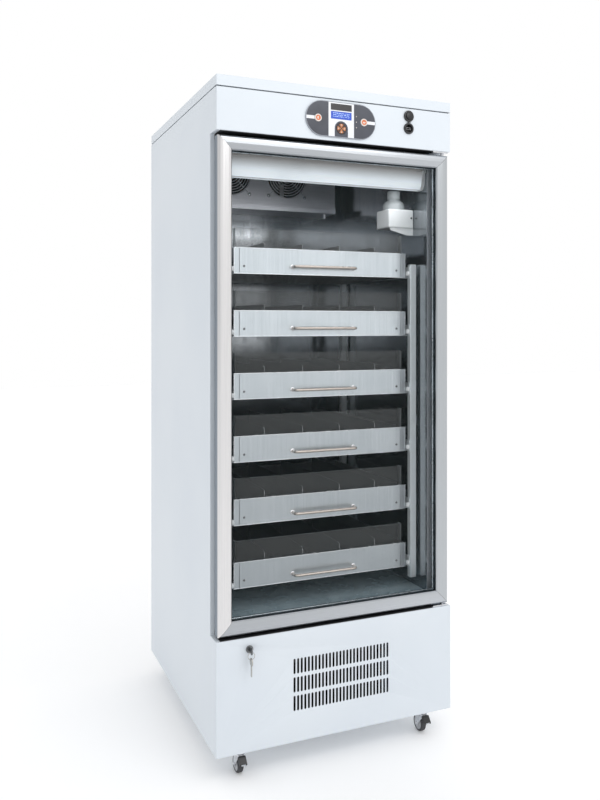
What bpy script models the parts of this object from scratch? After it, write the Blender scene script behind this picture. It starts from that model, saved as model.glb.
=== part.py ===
# Upright glass-door cooled incubator cabinet with six roll-out drawers.
# Frame: metres, +Z up, origin on the floor under the middle of the whole object.
# The front faces -Y, and +X is to the right of someone who faces the door.

import bpy
import bmesh
from math import atan2, cos, pi, sin
from mathutils import Matrix, Vector

# ---------------------------------------------------------------- driving sizes
bodyWidth = 0.745
bodyDepth = 0.790
bodyHeight = 1.850          # underside of the casing to the top of the lid
casterHeight = 0.075
keyHang = 0.0165            # front panel to the middle of the hanging key
keyBowRadius = 0.011
frontReach = keyHang + keyBowRadius
rearReach = 0.003           # edge of the power inlet behind the back
sheet = 0.0010              # steel sheet
gap = 0.0003                # between pieces that touch

panelReturn = 0.012         # folded edge of the header and plinth panels
panelRound = 0.002
lidHeight = 0.030
lidShadow = 0.003           # dark line under the lid
lidStep = 0.008

plinthHeight = 0.3135
headerHeight = 0.118
doorRecess = 0.057          # depth of the notch that the door closes into
sideWall = 0.0475           # outside of the casing to the inside of the liner
backWall = 0.045
floorWall = 0.0315
ceilingWall = 0.022
lintel = 0.044              # underside of the header to the top of the door opening

doorInset = 0.0065          # at each side
doorGapTop = 0.0105
doorGapBottom = 0.008
doorDepth = 0.038
doorFace = 0.040            # width of the frame's face around the glass
gasketDepth = 0.0184
gasketInset = 0.010
gasketWidth = 0.016
paneThickness = 0.004
paneSeat = 0.0225           # door edge to the edge of the glass
outerPaneY = 0.0118
innerPaneY = 0.0300
spacerFace = 0.034
pivotInset = 0.0125
pivotY = 0.017
pinRadius = 0.005
pinLength = 0.020
bracketThickness = 0.004

drawerCount = 6
drawerSideGap = 0.041       # liner wall to the end of a drawer front
drawerFrontY = 0.118        # front of the body to the drawer fronts
drawerFrontHeight = 0.0765
drawerFrontDepth = 0.012
drawerDepth = 0.500
drawerSheet = 0.0010
dividerCount = 4
dividerShare = 0.220        # step between dividers over the tray width
dividerSheet = 0.0010
dividerRise = 0.018         # over the top of the drawer front
floorClear = 0.065          # liner floor to the lowest drawer
headClear = 0.336           # top of the door opening to the bottom of the top drawer
guardShare = 0.546          # of the room over a drawer front that the clear guard takes
guardThickness = 0.004
guardReturn = 0.022
flangeWidth = 0.0145        # strip on the tray side that rides on the front roller
trayInset = 0.006           # tray side behind the end of the drawer front
handleLength = 0.210
handleReach = 0.028
handleRadius = 0.0045
handleRise = 0.024
handleBend = 0.010

postWidth = 0.028
postDepth = 0.018
postFrontY = 0.112
postRearY = 0.602
railThickness = 0.0025
railHeight = 0.034
ledgeThickness = 0.0014
rollerRadius = 0.0075
rollerWidth = 0.008
rollerRise = 0.013          # drawer bottom to the roller's centre

fanPitch = 0.2160
fanOffset = -0.0175
fanRadius = 0.0750
fanGuardRadius = 0.0775
evaporatorDepth = 0.107
evaporatorHeight = 0.192
evaporatorSideGap = 0.0065
evaporatorPipeGap = 0.0415
dripHeight = 0.020
dripOverhang = 0.035

bottleRadius = 0.0345
bottleHeight = 0.1145
bottleDepthY = 0.177
holderDepth = 0.082
holderWidth = 0.090
holderHeight = 0.059
holderDrop = 0.177          # top of the door opening to the bottom of the holder

panelHalfHeight = 0.0508    # control panel: a plate with round ends
panelSpacing = 0.1212
panelThickness = 0.004
buttonOffset = 0.0731
buttonRadius = 0.0109
buttonProud = 0.0018
padRadius = 0.0160
padDrop = 0.0247
displayWidth = 0.0656
displayHeight = 0.0215
displayRise = 0.0125
socketX = 0.2247
socketRadius = 0.0165
socketProud = 0.005
capThickness = 0.004
capRise = 0.0368            # socket centre to the centre of its opened cap

lockX = -0.2780
lockDrop = 0.0310           # plinth top to the lock
lockRadius = 0.0105
keyThickness = 0.0022
ringRadius = 0.010
ringWire = 0.0008

slotCount = 28
slotRows = 3
slotWidth = 0.0055
slotHeight = 0.0425
slotPitch = 0.01100
slotRowPitch = 0.0520
slotCentreX = 0.0048
slotTop = 0.0800            # plinth top to the top of the first row

casterInset = 0.0785
casterFrontY = 0.033
casterRearY = 0.030
wheelRadius = 0.025
wheelWidth = 0.018
casterTrail = 0.016
wheelClear = 0.0035         # tyre to the bridge of the fork
forkSideGap = 0.0012
forkSheet = 0.0020
forkBridge = 0.0040
axleRadius = 0.0030
plateRadius = 0.019
plateThickness = 0.0035

# ---------------------------------------------------------------- worked-out places
halfWidth = bodyWidth / 2
frontY = (frontReach - rearReach - bodyDepth) / 2
backY = frontY + bodyDepth
baseZ = casterHeight
topZ = baseZ + bodyHeight
casingTop = topZ - lidHeight - lidShadow
shelfZ = baseZ + plinthHeight
headerZ = casingTop - headerHeight
linerHalf = halfWidth - sideWall
linerFrontY = frontY + doorRecess + sheet + gap
linerBackY = backY - backWall
linerFloorZ = shelfZ + floorWall
linerTopZ = casingTop - ceilingWall
openingTopZ = headerZ - lintel
doorLeftX = -halfWidth + doorInset
doorRightX = halfWidth - doorInset
doorBottomZ = shelfZ + doorGapBottom
doorTopZ = headerZ - doorGapTop
pivotX = doorRightX - pivotInset
pivotWorldY = frontY + pivotY
drawerHalf = linerHalf - drawerSideGap
lowDrawerZ = linerFloorZ + floorClear
highDrawerZ = openingTopZ - headClear
drawerPitch = (highDrawerZ - lowDrawerZ) / (drawerCount - 1)
guardRise = guardShare * (drawerPitch - drawerFrontHeight)
trayHalf = drawerHalf - trayInset
panelZ = headerZ + headerHeight / 2 + 0.0015
fanZ = linerTopZ - 0.086
evaporatorFrontY = linerBackY - 0.003 - evaporatorDepth
evaporatorLeftX = -linerHalf + evaporatorSideGap
evaporatorRightX = linerHalf - evaporatorPipeGap
evaporatorTopZ = linerTopZ - 0.003
evaporatorBottomZ = evaporatorTopZ - evaporatorHeight
socketZ = panelZ - 0.0026
lockZ = shelfZ - lockDrop


# ---------------------------------------------------------------- modelling helpers
def material(name, colour, metallic, roughness, alpha=1.0):
    made = bpy.data.materials.new(name)
    made.use_nodes = True
    shader = made.node_tree.nodes["Principled BSDF"]
    shader.inputs["Base Color"].default_value = (*colour, 1.0)
    shader.inputs["Metallic"].default_value = metallic
    shader.inputs["Roughness"].default_value = roughness
    shader.inputs["Alpha"].default_value = alpha
    made.diffuse_color = (*colour, alpha)
    return made


def addBox(work, low, high):
    corners = []
    for z in (low[2], high[2]):
        for x, y in ((low[0], low[1]), (high[0], low[1]), (high[0], high[1]), (low[0], high[1])):
            corners.append(work.verts.new((x, y, z)))
    for face in ((3, 2, 1, 0), (4, 5, 6, 7), (0, 1, 5, 4), (1, 2, 6, 5), (2, 3, 7, 6), (3, 0, 4, 7)):
        work.faces.new([corners[index] for index in face])


# An outline (a list of pairs) drawn in the plane across `axis` and pushed along that axis.
def addPrism(work, outline, axis, start, end):
    def at(pair, along):
        if axis == "X":
            return (along, pair[0], pair[1])
        if axis == "Y":
            return (pair[0], along, pair[1])
        return (pair[0], pair[1], along)

    first = [work.verts.new(at(pair, start)) for pair in outline]
    second = [work.verts.new(at(pair, end)) for pair in outline]
    count = len(outline)
    work.faces.new(first)
    work.faces.new(list(reversed(second)))
    for index in range(count):
        after = (index + 1) % count
        work.faces.new((first[after], first[index], second[index], second[after]))


# A turned body: `profile` holds (radius, distance along the axis) pairs; a radius of 0 is a pole.
def addTurned(work, profile, axis, centre, segments, closedRing=False):
    rings = []
    for radius, along in profile:
        if radius == 0:
            rings.append([work.verts.new(turnedPoint(axis, centre, 0, 0, along))])
            continue
        ring = []
        for step in range(segments):
            angle = 2 * pi * step / segments
            ring.append(work.verts.new(turnedPoint(axis, centre, radius, angle, along)))
        rings.append(ring)
    pairs = list(zip(rings[:-1], rings[1:]))
    if closedRing:
        pairs.append((rings[-1], rings[0]))
    for lower, upper in pairs:
        for step in range(segments):
            after = (step + 1) % segments
            if len(lower) == 1:
                work.faces.new((lower[0], upper[step], upper[after]))
            elif len(upper) == 1:
                work.faces.new((lower[after], lower[step], upper[0]))
            else:
                work.faces.new((lower[after], lower[step], upper[step], upper[after]))
    if not closedRing:
        if len(rings[0]) > 1:
            work.faces.new(rings[0])
        if len(rings[-1]) > 1:
            work.faces.new(list(reversed(rings[-1])))


def turnedPoint(axis, centre, radius, angle, along):
    across = radius * cos(angle)
    upward = radius * sin(angle)
    if axis == "X":
        return (centre[0] + along, centre[1] + across, centre[2] + upward)
    if axis == "Y":
        return (centre[0] + across, centre[1] + along, centre[2] + upward)
    return (centre[0] + across, centre[1] + upward, centre[2] + along)


# A round bar that follows `path`, with flat ends.
def addBar(work, path, radius, sides):
    points = [Vector(point) for point in path]
    rings = []
    side = None
    for index, point in enumerate(points):
        before = points[max(index - 1, 0)]
        after = points[min(index + 1, len(points) - 1)]
        along = (after - before).normalized()
        if side is None:
            helper = Vector((0, 0, 1)) if abs(along.z) < 0.9 else Vector((1, 0, 0))
            side = along.cross(helper).normalized()
        side = (side - along * side.dot(along)).normalized()
        other = along.cross(side)
        ring = []
        for step in range(sides):
            angle = 2 * pi * step / sides
            ring.append(work.verts.new(point + radius * (cos(angle) * side + sin(angle) * other)))
        rings.append(ring)
    for lower, upper in zip(rings[:-1], rings[1:]):
        for step in range(sides):
            after = (step + 1) % sides
            work.faces.new((lower[step], lower[after], upper[after], upper[step]))
    work.faces.new(list(reversed(rings[0])))
    work.faces.new(rings[-1])


# A profile of (inward, depth) pairs carried round a rectangle, with mitred corners.
def addMitredFrame(work, left, right, bottom, top, front, profile):
    loops = []
    for inward, depth in profile:
        y = front + depth
        loops.append([
            work.verts.new((left + inward, y, bottom + inward)),
            work.verts.new((right - inward, y, bottom + inward)),
            work.verts.new((right - inward, y, top - inward)),
            work.verts.new((left + inward, y, top - inward)),
        ])
    for index, loop in enumerate(loops):
        following = loops[(index + 1) % len(loops)]
        for corner in range(4):
            after = (corner + 1) % 4
            work.faces.new((loop[corner], loop[after], following[after], following[corner]))


def stadium(centreX, centreZ, halfHeight, spacing, steps):
    points = []
    for sign, start in ((1, -pi / 2), (-1, pi / 2)):
        for step in range(steps + 1):
            angle = start + pi * step / steps
            points.append((centreX + sign * spacing / 2 + halfHeight * cos(angle),
                           centreZ + halfHeight * sin(angle)))
    return points


def circle(centre, radius, segments):
    return [(centre[0] + radius * cos(2 * pi * step / segments),
             centre[1] + radius * sin(2 * pi * step / segments)) for step in range(segments)]


def arc(centre, radius, start, end, steps):
    return [(centre[0] + radius * cos(start + (end - start) * step / steps),
             centre[1] + radius * sin(start + (end - start) * step / steps))
            for step in range(steps + 1)]


# Turns the shape that `draw` adds to an empty mesh into a named object.
def build(name, draw, surface, smooth=False):
    work = bmesh.new()
    draw(work)
    bmesh.ops.recalc_face_normals(work, faces=work.faces)
    if work.calc_volume(signed=True) < 0:
        bmesh.ops.reverse_faces(work, faces=work.faces)
    mesh = bpy.data.meshes.new(name)
    work.to_mesh(mesh)
    work.free()
    if smooth:
        mesh.shade_smooth()
        mesh.set_sharp_from_angle(angle=0.6)
    made = bpy.data.objects.new(name, mesh)
    bpy.context.scene.collection.objects.link(made)
    if surface is not None:
        mesh.materials.append(surface)
    return made


def combine(target, operation, draws):
    for index, draw in enumerate(draws):
        tool = build(f"{target.name}_{operation.lower()}_{index}", draw, None)
        tool.hide_render = True
        tool.display_type = "WIRE"
        step = target.modifiers.new(tool.name, "BOOLEAN")
        step.operation = operation
        step.solver = "EXACT"
        step.object = tool


def cut(target, *draws):
    combine(target, "DIFFERENCE", draws)


def join(target, *draws):
    combine(target, "UNION", draws)


def boxOf(low, high):
    return lambda work: addBox(work, low, high)


def prismOf(outline, axis, start, end):
    return lambda work: addPrism(work, outline, axis, start, end)


def turnedOf(profile, axis, centre, segments, closedRing=False):
    return lambda work: addTurned(work, profile, axis, centre, segments, closedRing)


def cylinderOf(radius, axis, centre, start, end, segments):
    return turnedOf([(radius, start), (radius, end)], axis, centre, segments)


def bevelOf(target, width, segments, limit=0.9):
    edge = target.modifiers.new("edge", "BEVEL")
    edge.width = width
    edge.segments = segments
    edge.limit_method = "ANGLE"
    edge.angle_limit = limit


# Puts a piece's origin on its joint without moving the piece.
def hangOn(piece, point):
    shift = Vector(point)
    piece.data.transform(Matrix.Translation(-shift))
    piece.location = shift


# ---------------------------------------------------------------- materials
whitePaint = material("white_paint", (0.84, 0.87, 0.89), 0.0, 0.42)
stainless = material("stainless", (0.62, 0.63, 0.64), 1.0, 0.28)
linerSteel = material("liner_steel", (0.45, 0.47, 0.48), 1.0, 0.2)
aluminium = material("brushed_aluminium", (0.74, 0.71, 0.67), 1.0, 0.35)
clearGlass = material("clear_glass", (0.9, 0.95, 0.95), 0.0, 0.02, 0.25)
clearAcrylic = material("clear_acrylic", (0.92, 0.95, 0.96), 0.0, 0.04, 0.3)
darkSeal = material("dark_seal", (0.05, 0.08, 0.12), 0.0, 0.6)
charcoal = material("charcoal_plastic", (0.045, 0.05, 0.06), 0.0, 0.35)
orange = material("orange_plastic", (0.85, 0.22, 0.03), 0.0, 0.4)
displayBlue = material("display_blue", (0.06, 0.2, 0.7), 0.0, 0.15)
blackPlastic = material("black_plastic", (0.015, 0.015, 0.016), 0.0, 0.4)
whitePlastic = material("white_plastic", (0.86, 0.87, 0.87), 0.0, 0.35)
lampWhite = material("lamp_white", (0.9, 0.91, 0.92), 0.0, 0.4)
bottleClear = material("bottle_plastic", (0.75, 0.78, 0.78), 0.0, 0.25, 0.6)
zincPlate = material("zinc_plate", (0.66, 0.67, 0.69), 1.0, 0.25)
keyBrass = material("key_nickel", (0.6, 0.58, 0.53), 1.0, 0.3)
unitBlack = material("unit_black", (0.03, 0.03, 0.035), 0.2, 0.5)
tread = material("tread_grey", (0.2, 0.2, 0.21), 0.0, 0.6)


# ---------------------------------------------------------------- casing
def makeCasing():
    sideY = frontY + panelReturn + gap
    casing = build("outer_casing", boxOf((-halfWidth, sideY, baseZ), (halfWidth, backY, casingTop)),
                   whitePaint)
    stepTop = topZ - sheet - gap
    neckY = sideY + 0.001
    join(casing, boxOf((-halfWidth + lidStep, neckY, casingTop - 0.005),
                       (halfWidth - lidStep, backY - lidStep, stepTop)))
    inside = halfWidth - sheet
    rearInside = backY - sheet
    faceBack = frontY + doorRecess + sheet
    voidTop = stepTop - sheet
    cut(
        casing,
        boxOf((-halfWidth - 0.01, frontY - 0.01, shelfZ), (halfWidth + 0.01, frontY + doorRecess, headerZ)),
        boxOf((-inside, faceBack, shelfZ), (inside, rearInside, casingTop - sheet)),
        boxOf((-inside, frontY - 0.01, headerZ + sheet), (inside, faceBack + 0.01, casingTop - sheet)),
        boxOf((-halfWidth + lidStep + sheet, neckY + sheet, casingTop - 0.01),
              (halfWidth - lidStep - sheet, backY - lidStep - sheet, voidTop)),
        boxOf((-inside, frontY - 0.01, baseZ + sheet), (inside, rearInside, shelfZ - sheet)),
        boxOf((-linerHalf, frontY + doorRecess - 0.01, linerFloorZ),
              (linerHalf, faceBack + 0.01, openingTopZ)),
    )
    cut(casing, drawRearVents)
    inletX, inletZ = inletPlace()
    cut(casing, boxOf((inletX - 0.0145, rearInside - 0.01, inletZ - 0.0105),
                      (inletX + 0.0145, backY + 0.01, inletZ + 0.0105)))


def drawRearVents(work):
    ventLength = bodyWidth - 0.265
    for row in range(6):
        low = baseZ + 0.100 + row * 0.024
        addBox(work, (-ventLength / 2, backY - 0.01, low), (ventLength / 2, backY + 0.01, low + 0.010))


def inletPlace():
    return -halfWidth + 0.080, baseZ + 0.050


def makeInlet():
    x, z = inletPlace()
    inlet = build("power_inlet",
                  boxOf((x - 0.014, backY - 0.026, z - 0.010), (x + 0.014, backY - 0.0002, z + 0.010)),
                  blackPlastic)
    join(inlet, boxOf((x - 0.022, backY + gap, z - 0.014), (x + 0.022, backY + 0.003, z + 0.014)),
         boxOf((x - 0.012, backY - 0.003, z - 0.008), (x + 0.012, backY + 0.0015, z + 0.008)))
    cut(inlet, boxOf((x - 0.011, backY - 0.018, z - 0.0075), (x + 0.011, backY + 0.01, z + 0.0075)))
    for offset, lift in ((-0.007, -0.002), (0, 0.002), (0.007, -0.002)):
        join(inlet, boxOf((x + offset - 0.001, backY - 0.019, z + lift - 0.002),
                          (x + offset + 0.001, backY - 0.004, z + lift + 0.002)))


def makeLid():
    spare = 3 * panelRound
    lid = build("top_lid", boxOf((-halfWidth, frontY, topZ - lidHeight - spare), (halfWidth, backY, topZ)),
                whitePaint)
    bevelOf(lid, panelRound, 2)
    cut(lid,
        boxOf((-halfWidth - 0.01, frontY - 0.01, topZ - lidHeight - 0.02),
              (halfWidth + 0.01, backY + 0.01, topZ - lidHeight)),
        boxOf((-halfWidth + sheet, frontY + sheet, topZ - lidHeight - 0.02),
              (halfWidth - sheet, backY - sheet, topZ - sheet)))


def frontPan(name, low, high):
    rear = frontY + panelReturn
    pan = build(name, boxOf((-halfWidth, frontY, low), (halfWidth, rear + 3 * panelRound, high)), whitePaint)
    bevelOf(pan, panelRound, 2)
    cut(pan,
        boxOf((-halfWidth - 0.01, rear, low - 0.01), (halfWidth + 0.01, rear + 0.02, high + 0.01)),
        boxOf((-halfWidth + sheet, frontY + sheet, low + sheet),
              (halfWidth - sheet, rear + 0.01, high - sheet)))
    return pan


def makeHeader():
    header = frontPan("header_panel", headerZ, casingTop)
    window = stadium(0, panelZ, panelHalfHeight - 0.008, panelSpacing, 8)
    cut(header, prismOf(window, "Y", frontY - 0.01, frontY + 0.01),
        cylinderOf(socketRadius - 0.003, "Y", (socketX, frontY, socketZ), -0.01, 0.01, 20))


def makePlinth():
    plinth = frontPan("plinth_panel", baseZ, shelfZ)
    cut(plinth, drawSlots, cylinderOf(lockRadius - 0.0017, "Y", (lockX, frontY, lockZ), -0.01, 0.01, 16))


def drawSlots(work):
    for row in range(slotRows):
        top = shelfZ - slotTop - row * slotRowPitch
        for column in range(slotCount):
            centre = slotCentreX + (column - (slotCount - 1) / 2) * slotPitch
            addBox(work, (centre - slotWidth / 2, frontY - 0.01, top - slotHeight),
                   (centre + slotWidth / 2, frontY + 0.006, top))


def makeLiner():
    liner = build("inner_liner", boxOf((-linerHalf - sheet, linerFrontY, linerFloorZ - sheet),
                                       (linerHalf + sheet, linerBackY + sheet, linerTopZ + sheet)),
                                       linerSteel)
    cut(liner,
        boxOf((-linerHalf, linerFrontY + sheet, linerFloorZ), (linerHalf, linerBackY, linerTopZ)),
        boxOf((-linerHalf, linerFrontY - 0.01, linerFloorZ), (linerHalf, linerFrontY + 0.01, openingTopZ)))


def makeLightBox():
    front = linerFrontY + sheet + gap
    bottom = openingTopZ - 0.063
    outline = [
        (front, openingTopZ + 0.040),
        (front, openingTopZ + 0.001),
        (front + 0.006, openingTopZ - 0.010),
        (front + 0.014, bottom + 0.012),
        (front + 0.022, bottom),
        (front + 0.048, bottom),
        (front + 0.048, openingTopZ + 0.040),
    ]
    build("light_box", prismOf(outline, "X", -linerHalf + gap, linerHalf - gap), lampWhite)


# ---------------------------------------------------------------- cold end
def fanCentres():
    return ((fanOffset - fanPitch / 2), (fanOffset + fanPitch / 2))


def makeEvaporator():
    housing = build("evaporator_housing",
                    boxOf((evaporatorLeftX, evaporatorFrontY, evaporatorBottomZ),
                          (evaporatorRightX, evaporatorFrontY + evaporatorDepth, evaporatorTopZ)), stainless)
    cut(housing, boxOf((evaporatorLeftX + sheet, evaporatorFrontY + sheet, evaporatorBottomZ + sheet),
                       (evaporatorRightX - sheet, evaporatorFrontY + evaporatorDepth + 0.01,
                        evaporatorTopZ + 0.01)))
    for x in fanCentres():
        cut(housing, cylinderOf(fanRadius, "Y", (x, evaporatorFrontY, fanZ), -0.01, 0.01, 28))
        join(housing, boxOf((x - 0.006, evaporatorFrontY + 0.045, evaporatorBottomZ + 0.0005),
                            (x + 0.006, evaporatorFrontY + 0.055, fanZ)),
             cylinderOf(0.022, "Y", (x, evaporatorFrontY, fanZ), 0.0345, 0.062, 16))


def makeDripTray():
    frontEdge = evaporatorFrontY - dripOverhang
    top = evaporatorBottomZ - gap
    left = evaporatorLeftX + 0.010
    right = evaporatorRightX - 0.013
    rear = linerBackY - 0.003
    tray = build("drip_tray", boxOf((left, frontEdge, top - dripHeight), (right, rear, top)), stainless)
    cut(tray, boxOf((left + sheet, frontEdge + sheet, top - dripHeight + sheet),
                    (right - sheet, rear - sheet, top + 0.01)))
    join(tray, cylinderOf(0.006, "Z", (right - 0.030, frontEdge + 0.035, top), -dripHeight - 0.014,
                          -dripHeight + 0.0006, 12))


def drawGuardRing(radius, wire, x, y, segments):
    profile = [(radius - wire, -wire), (radius + wire, -wire), (radius + wire, wire), (radius - wire, wire)]
    return turnedOf(profile, "Y", (x, y, fanZ), segments, True)


def makeFanGuard(name, x):
    y = evaporatorFrontY - 0.0034
    wire = 0.0013
    guard = build(name, drawGuardRing(fanGuardRadius, wire, x, y, 24), zincPlate)
    for radius in (0.058, 0.040, 0.022):
        join(guard, drawGuardRing(radius, wire, x, y, 20))
    reach = fanGuardRadius * 1.32 * cos(pi / 4)
    for sign in (-1, 1):
        lower = (x - sign * reach, fanZ - reach)
        upper = (x + sign * reach, fanZ + reach * 0.88)
        join(guard, spokeOf(lower, upper, y, 0.0022, 0.0010))
    join(guard, cylinderOf(0.009, "Y", (x, y, fanZ), -0.0009, 0.0011, 12))


def spokeOf(lower, upper, y, halfWide, halfThick):
    alongX, alongZ = upper[0] - lower[0], upper[1] - lower[1]
    length = (alongX ** 2 + alongZ ** 2) ** 0.5
    sideX, sideZ = -alongZ / length * halfWide, alongX / length * halfWide
    outline = [(lower[0] + sideX, lower[1] + sideZ), (lower[0] - sideX, lower[1] - sideZ),
               (upper[0] - sideX, upper[1] - sideZ), (upper[0] + sideX, upper[1] + sideZ)]
    return prismOf(outline, "Y", y - halfThick, y + halfThick)


# An axial fan wheel: a hub and pitched blades, turning about a line along Y.
def makeRotor(name, x, y, z, radius, hubRadius, depth, blades, surface):
    rotor = build(name, cylinderOf(hubRadius, "Y", (x, y, z), -depth / 2, depth / 2, 16), surface, True)
    for index in range(blades):
        join(rotor, bladeOf(x, y, z, radius, hubRadius, depth, 2 * pi * index / blades))
    hangOn(rotor, (x, y, z))


# One pitched blade: four thin cross-sections from inside the hub out to the tip, swept back a little.
def bladeOf(x, y, z, radius, hubRadius, depth, angle):
    stations = ((0.7 * hubRadius, 0.30, 0.0), (0.55 * radius, 0.34, 0.06), (0.8 * radius, 0.36, 0.14),
                (radius, 0.34, 0.24))
    thick = 0.0009

    def draw(work):
        sections = []
        for reach, half, sweep in stations:
            section = []
            for side, face in ((-1, -1), (1, -1), (1, 1), (-1, 1)):
                turn = angle + sweep + side * half
                lift = side * 0.36 * depth + face * thick
                section.append(work.verts.new((x + reach * cos(turn), y + lift, z + reach * sin(turn))))
            sections.append(section)
        for inner, outer in zip(sections[:-1], sections[1:]):
            for corner in range(4):
                after = (corner + 1) % 4
                work.faces.new((inner[corner], inner[after], outer[after], outer[corner]))
        work.faces.new(sections[0])
        work.faces.new(list(reversed(sections[-1])))
        bmesh.ops.triangulate(work, faces=work.faces)
    return draw


# ---------------------------------------------------------------- temperature bottle
def makeBottle():
    holderBottom = openingTopZ - holderDrop
    right = linerHalf - gap
    left = right - holderWidth
    front = frontY + bottleDepthY - holderDepth / 2
    rear = front + holderDepth
    top = holderBottom + holderHeight
    holder = build("bottle_holder", boxOf((left, front, holderBottom), (right, rear, top)), whitePlastic)
    bevelOf(holder, 0.004, 2)
    centre = (left + bottleRadius + 0.0055, (front + rear) / 2)
    hollow = bottleRadius + 0.0003
    cut(holder, cylinderOf(hollow, "Z", (*centre, holderBottom), 0.006, holderHeight + 0.01, 24))
    join(holder, prismOf([(right, holderBottom - 0.022), (right, holderBottom + 0.004),
                          (left + 0.004, holderBottom + 0.004),
                          (left + 0.010, holderBottom - 0.008), (right - 0.022, holderBottom - 0.022)],
                         "Y", front + 0.0045, front + 0.0085))
    base = holderBottom + 0.0063
    shoulder = base + bottleHeight - 0.044
    profile = [(0, 0), (bottleRadius - 0.003, 0), (bottleRadius, 0.003), (bottleRadius, shoulder - base),
               (bottleRadius - 0.007, shoulder - base + 0.010), (0.0185, shoulder - base + 0.014),
               (0.0185, bottleHeight - 0.027), (0.0205, bottleHeight - 0.026),
               (0.0205, bottleHeight - 0.002),
               (0.0185, bottleHeight), (0, bottleHeight)]
    build("buffer_bottle", turnedOf(profile, "Z", (*centre, base), 24), bottleClear, True)


# ---------------------------------------------------------------- door
def makeDoor():
    front = frontY
    profile = [
        (0.0, 0.010),
        (0.0015, 0.0055),
        (0.006, 0.0020),
        (0.013, 0.0004),
        (0.021, 0.0),
        (0.030, 0.0012),
        (doorFace - 0.003, 0.0040),
        (doorFace, 0.0078),
        (doorFace, outerPaneY - gap),
        (paneSeat - 0.0008, outerPaneY - gap),
        (paneSeat - 0.0008, outerPaneY + paneThickness + gap),
        (spacerFace, outerPaneY + paneThickness + gap),
        (spacerFace, innerPaneY - gap),
        (paneSeat - 0.0008, innerPaneY - gap),
        (paneSeat - 0.0008, innerPaneY + paneThickness + gap),
        (doorFace - 0.004, innerPaneY + paneThickness + gap),
        (doorFace - 0.008, doorDepth),
        (0.002, doorDepth),
        (0.0, doorDepth - 0.002),
    ]
    frame = build("door_frame",
                  lambda work: addMitredFrame(work, doorLeftX, doorRightX, doorBottomZ, doorTopZ, front,
                                              profile),
                  aluminium)
    hole = pinRadius + gap
    cut(frame,
        cylinderOf(hole, "Z", (pivotX, pivotWorldY, doorTopZ), -pinLength - 0.002, 0.01, 16),
        cylinderOf(hole, "Z", (pivotX, pivotWorldY, doorBottomZ), -0.01, pinLength + 0.002, 16))
    hangOn(frame, (pivotX, pivotWorldY, doorBottomZ))
    for name, depth in (("outer_glass", outerPaneY), ("inner_glass", innerPaneY)):
        pane = build(name, boxOf((doorLeftX + paneSeat, front + depth, doorBottomZ + paneSeat),
                                 (doorRightX - paneSeat, front + depth + paneThickness,
                                  doorTopZ - paneSeat)),
                     clearGlass)
        hangOn(pane, (pivotX, pivotWorldY, doorBottomZ))
    sealProfile = [
        (gasketInset, doorDepth + gap),
        (gasketInset, doorDepth + gasketDepth - 0.003),
        (gasketInset + 0.003, doorDepth + gasketDepth),
        (gasketInset + gasketWidth - 0.003, doorDepth + gasketDepth),
        (gasketInset + gasketWidth, doorDepth + gasketDepth - 0.003),
        (gasketInset + gasketWidth, doorDepth + gap),
    ]
    seal = build("door_gasket",
                 lambda work: addMitredFrame(work, doorLeftX, doorRightX, doorBottomZ, doorTopZ, front,
                                             sealProfile),
                 darkSeal)
    hangOn(seal, (pivotX, pivotWorldY, doorBottomZ))


def makeBrackets():
    for name, plate, tip, face in (
        ("lower_hinge_bracket", shelfZ + gap, doorBottomZ + pinLength, 1),
        ("upper_hinge_bracket", headerZ - gap, doorTopZ - pinLength, -1),
    ):
        low, high = sorted((plate, plate + face * bracketThickness))
        bracket = build(name, boxOf((pivotX - 0.040, frontY + 0.004, low),
                                    (doorRightX - 0.001, frontY + 0.050, high)),
                        zincPlate)
        start, end = sorted((plate + face * bracketThickness / 2, tip))
        join(bracket, cylinderOf(pinRadius, "Z", (pivotX, pivotWorldY, 0), start, end, 16))


# ---------------------------------------------------------------- drawers
def drawerBottom(index):
    return highDrawerZ - index * drawerPitch


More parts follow.
